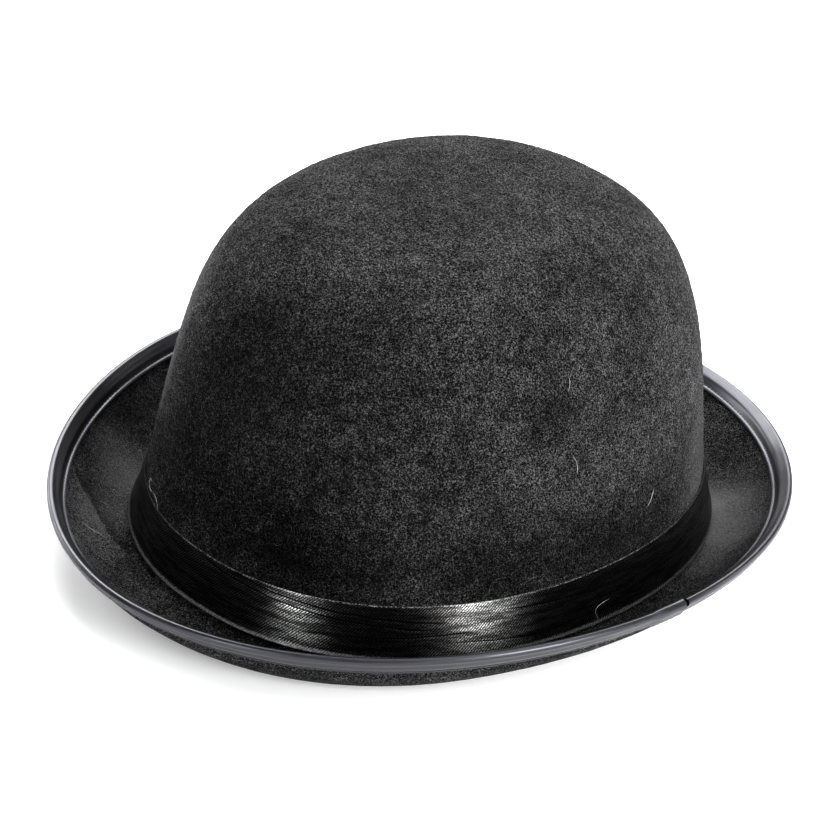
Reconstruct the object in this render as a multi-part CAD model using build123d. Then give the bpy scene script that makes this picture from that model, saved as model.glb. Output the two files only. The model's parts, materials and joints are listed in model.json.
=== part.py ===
from build123d import *
from bisect import bisect_right
from functools import lru_cache
import math
import os

os.makedirs("parts", exist_ok=True)

# Bowler hat: felt crown and brim in one piece, satin ribbon band with a flat bow
# on the wearer's left, folded tape round the brim edge with a wire in the fold,
# and a tape sweatband sewn inside.
# Frame: +Z up, z = 0 is the plane the brim rests on, x = y = 0 is the middle of
# the head opening.  The front of the hat faces -Y and the wearer's left is +X.
# Millimetres.  Angles run from +X towards +Y.  Heights in the dimensions and
# section functions count from the brim break; place() moves them to the frame.

DEG = math.pi / 180.0

# ---------------------------------------------------------------- dimensions
# crown, outer face of the felt
CROWN_HALF_LEN = 105.62      # half length (Y) at the top edge of the band
CROWN_HALF_WID = 86.43       # half width (X) at the same height
CROWN_PLAN_EXP = 2.151       # plan oval exponent, 2 = ellipse
BAND_TOP = 18.08             # height of the band's top edge
CROWN_TOP = 125.45           # height of the apex
CROWN_RISE = CROWN_TOP - BAND_TOP
DOME_SIDE_EXP = 3.145        # fullness of the dome sideways
DOME_UP_EXP = 2.754          # fullness of the dome upward
WALL_TAPER = -0.009          # taper of the crown wall, linear term
WALL_BOW = -0.207            # and its bulge at mid height
CROWN_RATIO_TOP = 1.150      # length to width ratio near the apex
APEX_SHIFT = (-0.19, -0.805)  # x, y lean of the crown at its apex

# band seat
FOOT_HALF_LEN = 109.09       # half length at the lower edge of the band
FOOT_HALF_WID = 92.14
FOOT_SADDLE = 0.78           # the band's lower edge rises this much at the sides

# rim, on the wire's centre line
RIM_HALF_LEN = 142.98
RIM_HALF_WID = 120.04
RIM_PLAN_EXP = 1.918
RIM_Z = 16.83                # mean height
RIM_SADDLE = 3.44            # sides curl higher than front and back
RIM_SADDLE_4 = 0.15          # four-lobed part of the curl
RIM_TILT = 1.63              # back of the rim higher than the front

# brim section: the two inner control points of a cubic from foot to rim
BRIM_REACH_1, BRIM_REACH_2 = 0.368, 0.870    # share of the brim's width
BRIM_Z_1, BRIM_Z_2 = -9.10, 13.20            # mean height
BRIM_SADDLE_1, BRIM_SADDLE_2 = 6.96, 1.55    # extra height at the sides

# felt
FELT_T = 2.0
FELT_T_EDGE = 1.5            # pressed thinner under the edge tape
FELT_ABOVE = 0.6             # felt above the brim's section line
EDGE_R = FELT_T_EDGE / 2     # rounded edge of the brim
PRESS_FROM, PRESS_RUN = 9.0, 3.0   # thinning, in from the rim
RING_POINTS = 60

# ribbon band
RIBBON_T = 0.35
RIBBON_GAP = 0.12            # between ribbon and felt, and between lapped ends
RIBBON_LIFT = 0.50           # lower edge of the ribbon above the brim break
DRAW_FADE = 8.0              # height over which the felt's draw-in fades out
FOOT_DRAW = 0.55             # extra draw-in of the felt at the band's lower edge
FOOT_TANGENT_DRAW = 0.53     # draw-in that sets the wall's slope at the foot
BAND_LAP = 4.5               # each end passes the bow's middle by this, degrees

# flat bow and keeper; offsets count outward from the band's outer face
BOW_HALF = 27.0              # half length along the band
BOW_Z = (1.9, 17.1)          # lower and upper edge
BOW_BASE = RIBBON_T + RIBBON_GAP   # the lapped ribbon end stands this far proud
BOW_BACK = BOW_BASE + 0.64   # bow face nearest the band
BOW_MID = 0.95               # thickness at the pinched middle
BOW_PUFF = 2.35              # the loops stand this much thicker
BOW_DROP = 0.55              # and thin by this towards the ends
BOW_END_T = BOW_MID + BOW_PUFF - BOW_DROP
BOW_FOLD = 1.35              # length of the rounded fold at each end
BOW_STEPS = 26               # steps along each long face
KEEPER_HALF = 6.5            # half width
KEEPER_T = 0.30
KEEPER_BACK = BOW_BASE + 0.27
KEEPER_FRONT = BOW_BACK + BOW_MID + 0.14 + KEEPER_T
KEEPER_MARGIN = 0.45         # past the bow's edges
TACK_IN, TACK_EDGE = 6.0, 2.5      # tack from the bow's end and from its edge
TACK_HALF, TACK_R = 0.9, 0.17
TACK_OFFSET = BOW_BASE + 0.34

# edge tape
TAPE_T = 0.40
TAPE_GAP = 0.14              # between tape and felt
TAPE_LAP_GAP = 0.07          # between the lapped ends
TAPE_BEAD_R = 0.97           # inner radius of the fold round the wire
TAPE_UPPER = 8.2             # tape width on the upper face of the brim
TAPE_UNDER = 6.4             # tape width on the under face
TAPE_JOIN = 182.5            # angle of the overlapping end
TAPE_LAP = 3.8               # overlap, degrees
TAPE_END = TAPE_JOIN + 360.0
TAPE_LAP_START = TAPE_END - TAPE_LAP
TAPE_FINE_FROM = TAPE_LAP_START - 5.0
SEAM_IN = 5.4                # stitch line from the rim
THREAD_R = 0.20
SEAM_OFFSET = FELT_T_EDGE / 2 + TAPE_GAP + TAPE_T + 0.09 + THREAD_R

# brim wire and its sleeve
WIRE_R = 0.60
WIRE_JOIN = 90.0             # the ends meet at the back
WIRE_GAP = 0.35              # half the gap between the ends, degrees
SLEEVE_R_IN, SLEEVE_R_OUT = 0.66, 0.86
SLEEVE_LEN = 24.0            # turned into an angle at the rim's half width

# sweatband and label
SWEAT_T = 0.70
SWEAT_GAP = 0.40             # between sweatband and felt
SWEAT_LAP_GAP = 0.12
SWEAT_Z = (2.5, 32.5)        # lower and upper edge
SWEAT_ENDS = (85.0, 455.0)   # ends overlap at the back of the head
SWEAT_LAP_START = SWEAT_ENDS[0] + 360.0
SWEAT_SEAM_UP = 2.2          # seam above the lower edge
SWEAT_SEAM_GAP = 0.05
LABEL_T = 0.25
LABEL_Z = (11.0, 17.0, 23.0)
LABEL_DEPTH = FELT_T + SWEAT_GAP + 2 * SWEAT_T + SWEAT_LAP_GAP + 0.45


# ---------------------------------------------------------------- helpers
def smooth(x):
    """0 to 1 with level ends"""
    x = max(0.0, min(1.0, x))
    return x * x * (3.0 - 2.0 * x)


def bezier(a, b, c, d, t):
    return (1 - t) ** 3 * a + 3 * (1 - t) ** 2 * t * b + 3 * (1 - t) * t * t * c + t ** 3 * d


def unit(dr, dz):
    length = math.hypot(dr, dz)
    return dr / length, dz / length


def oval_radius(half_len, half_wid, angle, exponent):
    c, s = abs(math.cos(angle)), abs(math.sin(angle))
    return ((c / half_wid) ** exponent + (s / half_len) ** exponent) ** (-1.0 / exponent)


def stations(start, end, step, fine_from=None, fine_step=0.8):
    """even angles from start to end, closer together after fine_from;
    degrees in, radians out"""
    coarse_end = end if fine_from is None else fine_from
    n = max(2, int(round(abs(coarse_end - start) / step)))
    angles = [(start + (coarse_end - start) * i / n) * DEG for i in range(n + 1)]
    if fine_from is not None:
        n = max(2, int(round(abs(end - fine_from) / fine_step)))
        angles += [(fine_from + (end - fine_from) * i / n) * DEG for i in range(1, n + 1)]
    return angles


def open_spline(points):
    last = len(points) - 1
    return Edge.make_spline(points, parameters=[i / last for i in range(last + 1)])


def closed_spline(points):
    n = len(points)
    return Wire([Edge.make_spline(points, periodic=True,
                                  parameters=[i / n for i in range(n + 1)])])


def strip(sections):
    """solid lofted through (outer, inner) face point lists; the inner list runs
    back the other way, and straight lines join the two"""
    return Solid.make_loft([
        Wire([open_spline(outer), Edge.make_line(outer[-1], inner[0]),
              open_spline(inner), Edge.make_line(inner[-1], outer[0])])
        for outer, inner in sections])


def strand(path, radius):
    """thin round strand swept along a smooth curve through the path's points"""
    spine = open_spline(path)
    section = Wire.make_circle(radius, Plane(origin=path[0], z_dir=spine.tangent_at(0)))
    return Solid.sweep(section, path=Wire([spine]))


def yarn(path, radius):
    """sewing thread: a square section of the same area as the round yarn,
    ruled from each point of the path to the next"""
    corner = radius * math.sqrt(math.pi / 2)
    turns = [math.pi * (j + 0.5) / 2 for j in range(4)]
    wires = []
    for i, point in enumerate(path):
        before = Vector(path[max(i - 1, 0)])
        after = Vector(path[min(i + 1, len(path) - 1)])
        frame = Plane(origin=point, x_dir=(0, 0, 1), z_dir=(after - before).normalized())
        wires.append(Wire.make_polygon([
            frame.from_local_coords((corner * math.cos(turn), corner * math.sin(turn), 0))
            for turn in turns]))
    return Solid.make_loft(wires, ruled=True)


# ---------------------------------------------------------------- hat sections
# section points are (radius, height) on the meridian at the given angle
def crown_radius(angle, u):
    """outer radius of the crown, u = 0 at the band's top edge, 1 at the apex"""
    rise = math.asin(min(1.0, u ** (DOME_UP_EXP / 2.0)))
    dome = max(0.0, math.cos(rise)) ** (2.0 / DOME_SIDE_EXP)
    taper = (1 + WALL_TAPER * (1 - u) + WALL_BOW * u * (1 - u)) / (1 + WALL_TAPER)
    ratio_foot = CROWN_HALF_LEN / CROWN_HALF_WID
    ratio = ratio_foot * (1 - u) + CROWN_RATIO_TOP * u
    stretch = math.sqrt(ratio / ratio_foot)
    # the felt is drawn in a little where the ribbon starts
    draw = (RIBBON_T + RIBBON_GAP) * (1.0 - smooth(u * CROWN_RISE / DRAW_FADE))
    return oval_radius(CROWN_HALF_LEN * dome * taper * stretch,
                       CROWN_HALF_WID * dome * taper / stretch,
                       angle, CROWN_PLAN_EXP) - draw


def foot_radius(angle):
    return oval_radius(FOOT_HALF_LEN, FOOT_HALF_WID, angle, CROWN_PLAN_EXP)


def ribbon_point(angle, f):
    """outer face of the ribbon, f = 0 lower edge, 1 upper edge"""
    top = oval_radius(CROWN_HALF_LEN, CROWN_HALF_WID, angle, CROWN_PLAN_EXP)
    foot = foot_radius(angle)
    foot_z = FOOT_SADDLE * math.cos(2 * angle) + RIBBON_LIFT
    return foot + (top - foot) * f, foot_z + (BAND_TOP - foot_z) * f


def seat_point(angle, f):
    """outer face of the felt behind the ribbon"""
    r, z = ribbon_point(angle, f)
    return r - RIBBON_T - RIBBON_GAP - FOOT_DRAW * (1 - f), z


def wall_radius(angle, z):
    """outer face of the felt wall at height z"""
    if z >= BAND_TOP:
        return crown_radius(angle, (z - BAND_TOP) / CROWN_RISE)
    foot_z = ribbon_point(angle, 0.0)[1]
    return seat_point(angle, max(0.0, (z - foot_z) / (BAND_TOP - foot_z)))[0]


def rim_point(angle):
    r = oval_radius(RIM_HALF_LEN, RIM_HALF_WID, angle, RIM_PLAN_EXP)
    z = (RIM_Z + RIM_SADDLE * math.cos(2 * angle) + RIM_SADDLE_4 * math.cos(4 * angle)
         + RIM_TILT * math.sin(angle))
    return r, z


def brim_point(angle, t):
    """brim section line, t = 0 at the foot of the crown, 1 at the rim"""
    foot = foot_radius(angle)
    rim_r, rim_z = rim_point(angle)
    side = math.cos(2 * angle)
    reach = bezier(0.0, BRIM_REACH_1, BRIM_REACH_2, 1.0, t)
    z = bezier(0.0, BRIM_Z_1 + BRIM_SADDLE_1 * side, BRIM_Z_2 + BRIM_SADDLE_2 * side, rim_z, t)
    return foot + (rim_r - foot) * reach, z


@lru_cache(maxsize=None)
def brim_line(angle):
    """brim section points from the rim inward, and their arc lengths"""
    n = 160
    points = [brim_point(angle, 1 - i / n) for i in range(n + 1)]
    arc = [0.0]
    for a, b in zip(points, points[1:]):
        arc.append(arc[-1] + math.dist(a, b))
    return points, arc


def brim_at(angle, s, off=0.0):
    """point at arc length s in from the rim, lifted by off along the normal"""
    points, arc = brim_line(angle)
    s = max(0.0, min(s, arc[-1]))
    lo = min(bisect_right(arc, s) - 1, len(arc) - 2)
    hi = lo + 1
    f = (s - arc[lo]) / (arc[hi] - arc[lo])
    a, b = points[lo], points[hi]
    outer, inner = points[max(0, lo - 2)], points[min(len(points) - 1, hi + 2)]
    out_r, out_z = unit(outer[0] - inner[0], outer[1] - inner[1])
    return a[0] + f * (b[0] - a[0]) - out_z * off, a[1] + f * (b[1] - a[1]) + out_r * off


# ---------------------------------------------------------------- felt section
# height fractions of the crown's rings, 0 at the band's top edge, 1 at the apex
CROWN_LEVELS = [0.0, 0.035, 0.075, 0.13, 0.20, 0.27, 0.34, 0.41, 0.48, 0.55, 0.615,
                0.675, 0.73, 0.78, 0.825, 0.865, 0.90, 0.93, 0.955, 0.975, 0.9885,
                0.9965]
EDGE_RINGS = [12.5, 10.2, 8.0, 5.6, 3.4, 1.80]   # rings near the rim, in from it
BREAK_END = 0.765            # share of the brim's arc where the break's curve ends
BREAK_PULL = 0.34            # control point distance as a share of its chord


def break_curve(angle, s_end):
    """curve from the foot of the wall out to the upper face of the brim"""
    start = seat_point(angle, 0.0)
    above = ribbon_point(angle, 0.25)
    start_dir = unit(start[0] - (above[0] - RIBBON_T - FOOT_TANGENT_DRAW),
                     start[1] - above[1])
    end = brim_at(angle, s_end, FELT_ABOVE)
    beyond = brim_at(angle, s_end - 0.5, FELT_ABOVE)
    end_dir = unit(beyond[0] - end[0], beyond[1] - end[1])
    pull = math.dist(start, end) * BREAK_PULL
    return [tuple(bezier(start[k], start[k] + start_dir[k] * pull,
                         end[k] - end_dir[k] * pull, end[k], t) for k in (0, 1))
            for t in (0.0, 0.2, 0.4, 0.6, 0.8, 1.0)]


def outer_profile(angle):
    """outer and upper face of the felt from near the apex out to the rim,
    as (radius, height, felt thickness)"""
    points = [(crown_radius(angle, u), BAND_TOP + u * CROWN_RISE)
              for u in reversed(CROWN_LEVELS)]
    points += [seat_point(angle, f) for f in (0.75, 0.5, 0.25)]
    s_end = brim_line(angle)[1][-1] * BREAK_END
    points += break_curve(angle, s_end)
    points += [brim_at(angle, s_end + (EDGE_RINGS[0] - s_end) * f, FELT_ABOVE)
               for f in (0.2, 0.45, 0.72)]
    profile = [(r, z, FELT_T) for r, z in points]
    for s in EDGE_RINGS:
        full = smooth((s - PRESS_FROM) / PRESS_RUN)
        above = FELT_T_EDGE / 2 + (FELT_ABOVE - FELT_T_EDGE / 2) * full
        r, z = brim_at(angle, s, above)
        profile.append((r, z, FELT_T_EDGE + (FELT_T - FELT_T_EDGE) * full))
    return profile


def offset_profile(profile):
    """inner and under face of the felt, one thickness in from the outer profile"""
    inner = []
    for i, (r, z, thick) in enumerate(profile):
        a = profile[i - 1] if i else (0.0, CROWN_TOP)
        b = profile[min(len(profile) - 1, i + 1)]
        along_r, along_z = unit(b[0] - a[0], b[1] - a[1])
        # the path runs outward and down, so its inner side is (z, -r)
        inner.append((r + thick * along_z, z - thick * along_r))
    return inner


RING_ANGLES = [2 * math.pi * i / RING_POINTS for i in range(RING_POINTS)]
OUTER = [outer_profile(angle) for angle in RING_ANGLES]
INNER = [offset_profile(profile) for profile in OUTER]
# the lowest point of the under face becomes z = 0
REST = -min(z for profile in INNER for r, z in profile)


def place(angle, r, z, shift=(0.0, 0.0)):
    return r * math.cos(angle) + shift[0], r * math.sin(angle) + shift[1], z + REST


def place_all(angle, points):
    return [place(angle, r, z) for r, z in points]


# ---------------------------------------------------------------- felt body
def felt_ring(profiles, k):
    points = []
    for angle, profile in zip(RING_ANGLES, profiles):
        r, z = profile[k][:2]
        # only the crown leans
        u = max(0.0, (z - BAND_TOP) / CROWN_RISE) if k < len(CROWN_LEVELS) else 0.0
        points.append(place(angle, r, z, (APEX_SHIFT[0] * u, APEX_SHIFT[1] * u)))
    return closed_spline(points)


def make_felt_body():
    """one skin from the outer apex down, out over the brim, round the pressed edge
    and back under the brim and up the inside to the inner apex"""
    outer = [felt_ring(OUTER, k) for k in range(len(OUTER[0]))]
    inner = [felt_ring(INNER, k) for k in range(len(INNER[0]))]
    edge = [closed_spline([
        place(angle, *brim_at(angle, EDGE_RINGS[-1] - EDGE_R * math.cos(turn * DEG),
                              EDGE_R * math.sin(turn * DEG)))
        for angle in RING_ANGLES]) for turn in (60, 30, 0, -30, -60)]
    apex_out = Vertex(*APEX_SHIFT, CROWN_TOP + REST)
    apex_in = Vertex(*APEX_SHIFT, CROWN_TOP - FELT_T + REST)
    return Solid.make_loft([apex_out] + outer + edge + inner[::-1] + [apex_in], ruled=True)


# ---------------------------------------------------------------- hat band
def make_hat_band():
    """ribbon round the crown, its ends overlapping under the bow"""
    lap_start = 360.0 - BAND_LAP
    sections = []
    for angle in stations(-BAND_LAP, 360.0 + BAND_LAP, 4.5, lap_start - 8.5, 1.2):
        ramp = smooth((angle / DEG - (lap_start - 6.0)) / 5.0)
        lift = (RIBBON_T + RIBBON_GAP) * ramp
        face = [ribbon_point(angle, f) for f in (0, 0.5, 1)]
        sections.append((
            place_all(angle, [(r + lift, z) for r, z in face]),
            place_all(angle, [(r + lift - RIBBON_T, z) for r, z in reversed(face)])))
    return strip(sections)


# ---------------------------------------------------------------- flat bow
def plan_normal(angle, f):
    """outward plan normal of the band's outer face"""
    step = 1e-3
    a, b = [(r * math.cos(t), r * math.sin(t))
            for t, r in ((t, ribbon_point(t, f)[0]) for t in (angle - step, angle + step))]
    along_x, along_y = unit(b[0] - a[0], b[1] - a[1])
    return along_y, -along_x


def on_band(along, out, z):
    """point measured along the band from the bow's middle and out from the band"""
    foot_z = ribbon_point(0.0, 0.0)[1]
    f = (z - foot_z) / (BAND_TOP - foot_z)
    angle = along / ribbon_point(0.0, f)[0]
    r = ribbon_point(angle, f)[0]
    nx, ny = plan_normal(angle, f)
    return r * math.cos(angle) + nx * out, r * math.sin(angle) + ny * out, z + REST


def bow_outline(height, inset):
    """closed outline of the folded ribbon: two flat loops pinched in the middle;
    height is a share of the bow's, inset shrinks the outline"""
    z = BOW_Z[0] + (BOW_Z[1] - BOW_Z[0]) * height
    flat = BOW_HALF - BOW_FOLD
    shares = [-1 + 2 * i / BOW_STEPS for i in range(BOW_STEPS + 1)]

    def fold(side, turns):
        return [on_band(side * flat + (BOW_FOLD - inset) * math.cos(turn * DEG),
                        BOW_BACK + BOW_END_T / 2
                        + (BOW_END_T / 2 - inset) * math.sin(turn * DEG), z)
                for turn in turns]

    points = []
    for share in shares:
        puff = (BOW_MID + BOW_PUFF * smooth((abs(share) - 0.29) / 0.36)
                - BOW_DROP * smooth((abs(share) - 0.65) / 0.35))
        points.append(on_band(share * flat, BOW_BACK + puff - inset, z))
    points += fold(1, (60, 30, 0, -30, -60))
    points += [on_band(-share * flat, BOW_BACK + inset, z) for share in shares]
    points += fold(-1, (-120, -150, 180, 150, 120))
    return closed_spline(points)


def make_band_bow():
    outer = Solid.make_loft([bow_outline(h, 0.0) for h in (0, 0.5, 1)])
    # the hollow runs past both edges so that the loops stay open
    inner = Solid.make_loft([bow_outline(h, RIBBON_T) for h in (-0.1, 0.5, 1.1)])
    return outer - inner


def keeper_outline(along, inset):
    back, front = KEEPER_BACK + inset, KEEPER_FRONT - inset
    low = on_band(along, 0.0, BOW_Z[0] - KEEPER_MARGIN + inset)
    high = on_band(along, 0.0, BOW_Z[1] + KEEPER_MARGIN - inset)
    nx, ny = plan_normal(along / FOOT_HALF_WID, 0.5)
    corners = [(p[0] + nx * out, p[1] + ny * out, p[2])
               for p, out in ((low, back), (low, front), (high, front), (high, back))]
    return Wire([Edge.make_line(corners[i], corners[(i + 1) % 4]) for i in range(4)])


def make_bow_keeper():
    """strip wrapped round the pinched middle of the bow"""
    def block(half, inset):
        places = (-half, -KEEPER_HALF / 2, 0, KEEPER_HALF / 2, half)
        return Solid.make_loft([keeper_outline(along, inset) for along in places])

    return block(KEEPER_HALF, 0.0) - block(KEEPER_HALF + 1, KEEPER_T)


def make_bow_tacks():
    """four hidden tacks between the bow's back and the band"""
    tacks = []
    for along in (-BOW_HALF + TACK_IN, BOW_HALF - TACK_IN):
        for z in (BOW_Z[0] + TACK_EDGE, BOW_Z[1] - TACK_EDGE):
            a = on_band(along - TACK_HALF, TACK_OFFSET, z)
            b = on_band(along + TACK_HALF, TACK_OFFSET, z)
            plane = Plane(origin=a, z_dir=(b[0] - a[0], b[1] - a[1], b[2] - a[2]))
            tacks.append(Solid.make_cylinder(TACK_R, math.dist(a, b), plane=plane))
    return Compound(children=tacks)


# ---------------------------------------------------------------- edge tape
def tape_lift(angle):
    """the overlapping end rides on the end below it"""
    ramp = smooth((angle / DEG - (TAPE_LAP_START - 3.2)) / 2.6)
    return (TAPE_T + TAPE_LAP_GAP) * ramp


def tape_face(angle, off):
    """one face of the folded tape, from the upper hem round the wire to the
    lower hem; off = distance from the tape's felt side"""
    rim_r, rim_z = rim_point(angle)
    inside = brim_point(angle, 0.97)
    out_r, out_z = unit(rim_r - inside[0], rim_z - inside[1])
    flat = FELT_T_EDGE / 2 + TAPE_GAP + off
    points = [brim_at(angle, s, flat) for s in (TAPE_UPPER, 6.6, 5.0, 3.4, 2.0)]
    for turn in (105, 78, 52, 26, 0, -26, -52, -78, -105):
        out = math.cos(turn * DEG) * (TAPE_BEAD_R + off)
        up = math.sin(turn * DEG) * (TAPE_BEAD_R + off)
        points.append((rim_r + out * out_r - up * out_z, rim_z + out * out_z + up * out_r))
    points += [brim_at(angle, s, -flat) for s in (2.0, 3.2, 4.8, TAPE_UNDER)]
    return points


def make_brim_binding():
    sections = []
    for angle in stations(TAPE_JOIN - TAPE_LAP, TAPE_END, 3.8, TAPE_FINE_FROM, 0.6):
        lift = tape_lift(angle)
        sections.append((place_all(angle, tape_face(angle, TAPE_T + lift)),
                         place_all(angle, reversed(tape_face(angle, lift)))))
    return strip(sections)


def make_binding_thread(side):
    """the tape's seam thread: side = 1 above the brim, -1 below"""
    return yarn([place(angle, *brim_at(angle, SEAM_IN,
                                       side * (SEAM_OFFSET + tape_lift(angle))))
                 for angle in stations(TAPE_JOIN + 0.5, TAPE_END - 0.5, 4.0,
                                       TAPE_FINE_FROM, 0.6)], THREAD_R)


# ---------------------------------------------------------------- brim wire
def rim_strand(start, end, step, radius):
    return strand([place(angle, *rim_point(angle)) for angle in stations(start, end, step)],
                  radius)


def make_brim_wire():
    return rim_strand(WIRE_JOIN + WIRE_GAP, WIRE_JOIN + 360.0 - WIRE_GAP, 4.0, WIRE_R)


def make_brim_wire_sleeve():
    """tube over the wire's ends; its bore is cut one degree past each end"""
    half = 0.5 * SLEEVE_LEN / RIM_HALF_WID / DEG
    return (rim_strand(WIRE_JOIN - half, WIRE_JOIN + half, 2.0, SLEEVE_R_OUT)
            - rim_strand(WIRE_JOIN - half - 1, WIRE_JOIN + half + 1, 2.0, SLEEVE_R_IN))


# ---------------------------------------------------------------- sweatband
def sweat_depth(angle):
    """sweatband's outer side, in from the felt's outer face"""
    ramp = smooth((angle / DEG - (SWEAT_LAP_START - 6.0)) / 5.0)
    return FELT_T + SWEAT_GAP + (SWEAT_T + SWEAT_LAP_GAP) * ramp


def lining_section(angle, heights, depth, thick):
    """layer inside the wall, depth in from the felt's outer face"""
    outer = [(wall_radius(angle, z) - depth, z) for z in heights]
    inner = [(r - thick, z) for r, z in reversed(outer)]
    return place_all(angle, outer), place_all(angle, inner)


def make_sweatband():
    low, high = SWEAT_Z
    heights = [low + (high - low) * f for f in (0.0, 0.2, 0.4, 0.6, 0.8, 1.0)]
    return strip([lining_section(angle, heights, sweat_depth(angle), SWEAT_T)
                  for angle in stations(*SWEAT_ENDS, 5.0, SWEAT_LAP_START - 9.0, 1.2)])


def make_sweatband_thread():
    """seam thread, low on the sweatband's inner face"""
    z = SWEAT_Z[0] + SWEAT_SEAM_UP
    return yarn([place(angle, wall_radius(angle, z) - sweat_depth(angle) - SWEAT_T
                       - SWEAT_SEAM_GAP - THREAD_R, z)
                 for angle in stations(96.5, 438.0, 4.4)], THREAD_R)


def make_size_label():
    """blank label inside the sweatband at the back"""
    return strip([lining_section(angle, LABEL_Z, LABEL_DEPTH, LABEL_T)
                  for angle in stations(83.5, 96.0, 2.5)])


# ---------------------------------------------------------------- write
pieces = {
    "felt_body": make_felt_body(),
    "hat_band": make_hat_band(),
    "band_bow": make_band_bow(),
    "bow_keeper": make_bow_keeper(),
    "bow_tacks": make_bow_tacks(),
    "brim_binding": make_brim_binding(),
    "binding_needle_thread": make_binding_thread(1),
    "binding_bobbin_thread": make_binding_thread(-1),
    "brim_wire": make_brim_wire(),
    "brim_wire_sleeve": make_brim_wire_sleeve(),
    "sweatband": make_sweatband(),
    "sweatband_thread": make_sweatband_thread(),
    "size_label": make_size_label(),
}
for name, shape in pieces.items():
    export_step(shape, f"parts/{name}.step")
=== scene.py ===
# A pressed felt hat: domed crown, satin band with a bow, brim bound with glossy tape
# over a wire, and a ribbed head tape with a label inside.
# Z is up. The long axis lies along Y, the bow faces +X at angle 0, and angles grow
# from +X towards +Y. Shapes are worked out in mm from a level near the crown's foot,
# then raised by REST so that the hat sits as in the CAD model.
import json
import math

import bpy
import numpy as np
from mathutils import Matrix, Vector

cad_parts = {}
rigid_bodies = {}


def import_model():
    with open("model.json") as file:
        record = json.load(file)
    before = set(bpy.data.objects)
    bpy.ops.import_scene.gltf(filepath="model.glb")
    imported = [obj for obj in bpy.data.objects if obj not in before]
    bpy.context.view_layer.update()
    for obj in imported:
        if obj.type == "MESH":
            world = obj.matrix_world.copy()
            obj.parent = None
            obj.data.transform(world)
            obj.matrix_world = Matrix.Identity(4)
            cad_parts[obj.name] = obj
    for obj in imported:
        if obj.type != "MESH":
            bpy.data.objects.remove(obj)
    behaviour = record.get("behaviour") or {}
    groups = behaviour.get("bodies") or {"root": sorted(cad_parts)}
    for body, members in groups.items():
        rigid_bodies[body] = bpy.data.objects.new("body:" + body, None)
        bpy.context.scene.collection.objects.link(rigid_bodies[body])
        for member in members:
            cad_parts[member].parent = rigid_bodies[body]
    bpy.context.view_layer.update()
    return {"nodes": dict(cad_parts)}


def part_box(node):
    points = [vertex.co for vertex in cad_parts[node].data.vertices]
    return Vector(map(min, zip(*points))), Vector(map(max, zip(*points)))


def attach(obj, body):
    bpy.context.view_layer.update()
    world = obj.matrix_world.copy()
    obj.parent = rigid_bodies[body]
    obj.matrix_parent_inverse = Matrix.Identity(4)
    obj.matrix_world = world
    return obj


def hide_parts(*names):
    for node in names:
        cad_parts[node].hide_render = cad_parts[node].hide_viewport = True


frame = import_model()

MM = 0.001
TAU = 2 * math.pi

# --------------------------------------------------------------- dimensions, mm
# crown: superellipse in plan, domed in section
CROWN_HALF_LEN, CROWN_HALF_WID, CROWN_PLAN_EXP = 105.62, 86.43, 2.151
CROWN_BASE_Z, CROWN_TOP = 18.08, 125.45
DOME_SIDE_EXP, DOME_RISE_EXP = 3.145, 2.754      # exponents of the dome's section
DOME_TAPER, DOME_WAIST = -0.009, -0.207          # straight and bowed change of radius
DOME_TOP_RATIO = 1.150                           # length over width at the top
LEAN_X, LEAN_Y = -0.19, -0.805                   # shift of the crown's top
# foot of the crown, where the brim starts
FOOT_HALF_LEN, FOOT_HALF_WID, FOOT_SADDLE = 109.09, 92.14, 0.78
# rim of the brim; saddle terms go with cos 2a and cos 4a, tilt with sin a
RIM_HALF_LEN, RIM_HALF_WID, RIM_PLAN_EXP = 142.98, 120.04, 1.918
RIM_Z, RIM_SADDLE, RIM_SADDLE4, RIM_TILT = 16.83, 3.44, 0.15, 1.63
# the two inner control points of the brim's section curve
BRIM_REACH = (0.368, 0.870)                      # fraction of the way to the rim
BRIM_DROP = (9.10, -13.20)                       # depth below the foot
BRIM_DROP_WAVE = (-6.96, -1.55)                  # change of depth with cos 2a
# felt; FELT_ABOVE is its upper face over the brim's section curve
FELT_T, FELT_T_EDGE, FELT_ABOVE = 2.0, 1.5, 0.6
FELT_EDGE_INSET = 1.8
# edge tape round the rim and its wire; join and lap in degrees
TAPE_T, TAPE_GAP, TAPE_BEAD_R = 0.40, 0.14, 0.97
TAPE_JOIN, TAPE_LAP = 180.3, 3.8
TAPE_FLAT = FELT_T_EDGE / 2 + TAPE_GAP           # brim curve to the tape's inner face
SEAM_INSET, STITCH_PITCH = 5.4, 2.1
# satin band, and the seat pressed into the felt behind it
BAND_T, BAND_LIFT, BAND_WIDTH = 0.35, 0.50, 18.0
BAND_SEAT = BAND_T + 0.12
BAND_START = -4.5                                # degrees, hidden lapped end
# head tape inside the crown
SWEAT_T, SWEAT_Z0, SWEAT_Z1 = 0.70, 2.5, 32.5
SWEAT_SEAT = FELT_T + 0.42
# bow and its keeper
BOW_HALF, BOW_Z0, BOW_Z1, KEEPER_HALF = 27.0, 1.9, 17.1, 6.5
BOW_WIDTH = BOW_Z1 - BOW_Z0
BOW_END_R = 1.35
BOW_BACK, BOW_MID, KEEPER_T = BAND_SEAT + 0.64, 0.95, 0.30

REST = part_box("felt_body")[1].z / MM - CROWN_TOP


# --------------------------------------------------------------- numeric helpers
def hash_grid(cell_x, cell_y, cell_z, seed):
    """pseudo-random value 0..1 for each lattice cell"""
    value = (cell_x.astype(np.uint64) * np.uint64(374761393)
             + cell_y.astype(np.uint64) * np.uint64(668265263)
             + cell_z.astype(np.uint64) * np.uint64(2147483647)
             + np.uint64(seed * 1274126177 % (1 << 32)))
    value = (value ^ (value >> np.uint64(13))) * np.uint64(1274126177)
    value = value ^ (value >> np.uint64(16))
    return (value & np.uint64(0xFFFFFF)).astype(np.float64) / float(0xFFFFFF)


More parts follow.
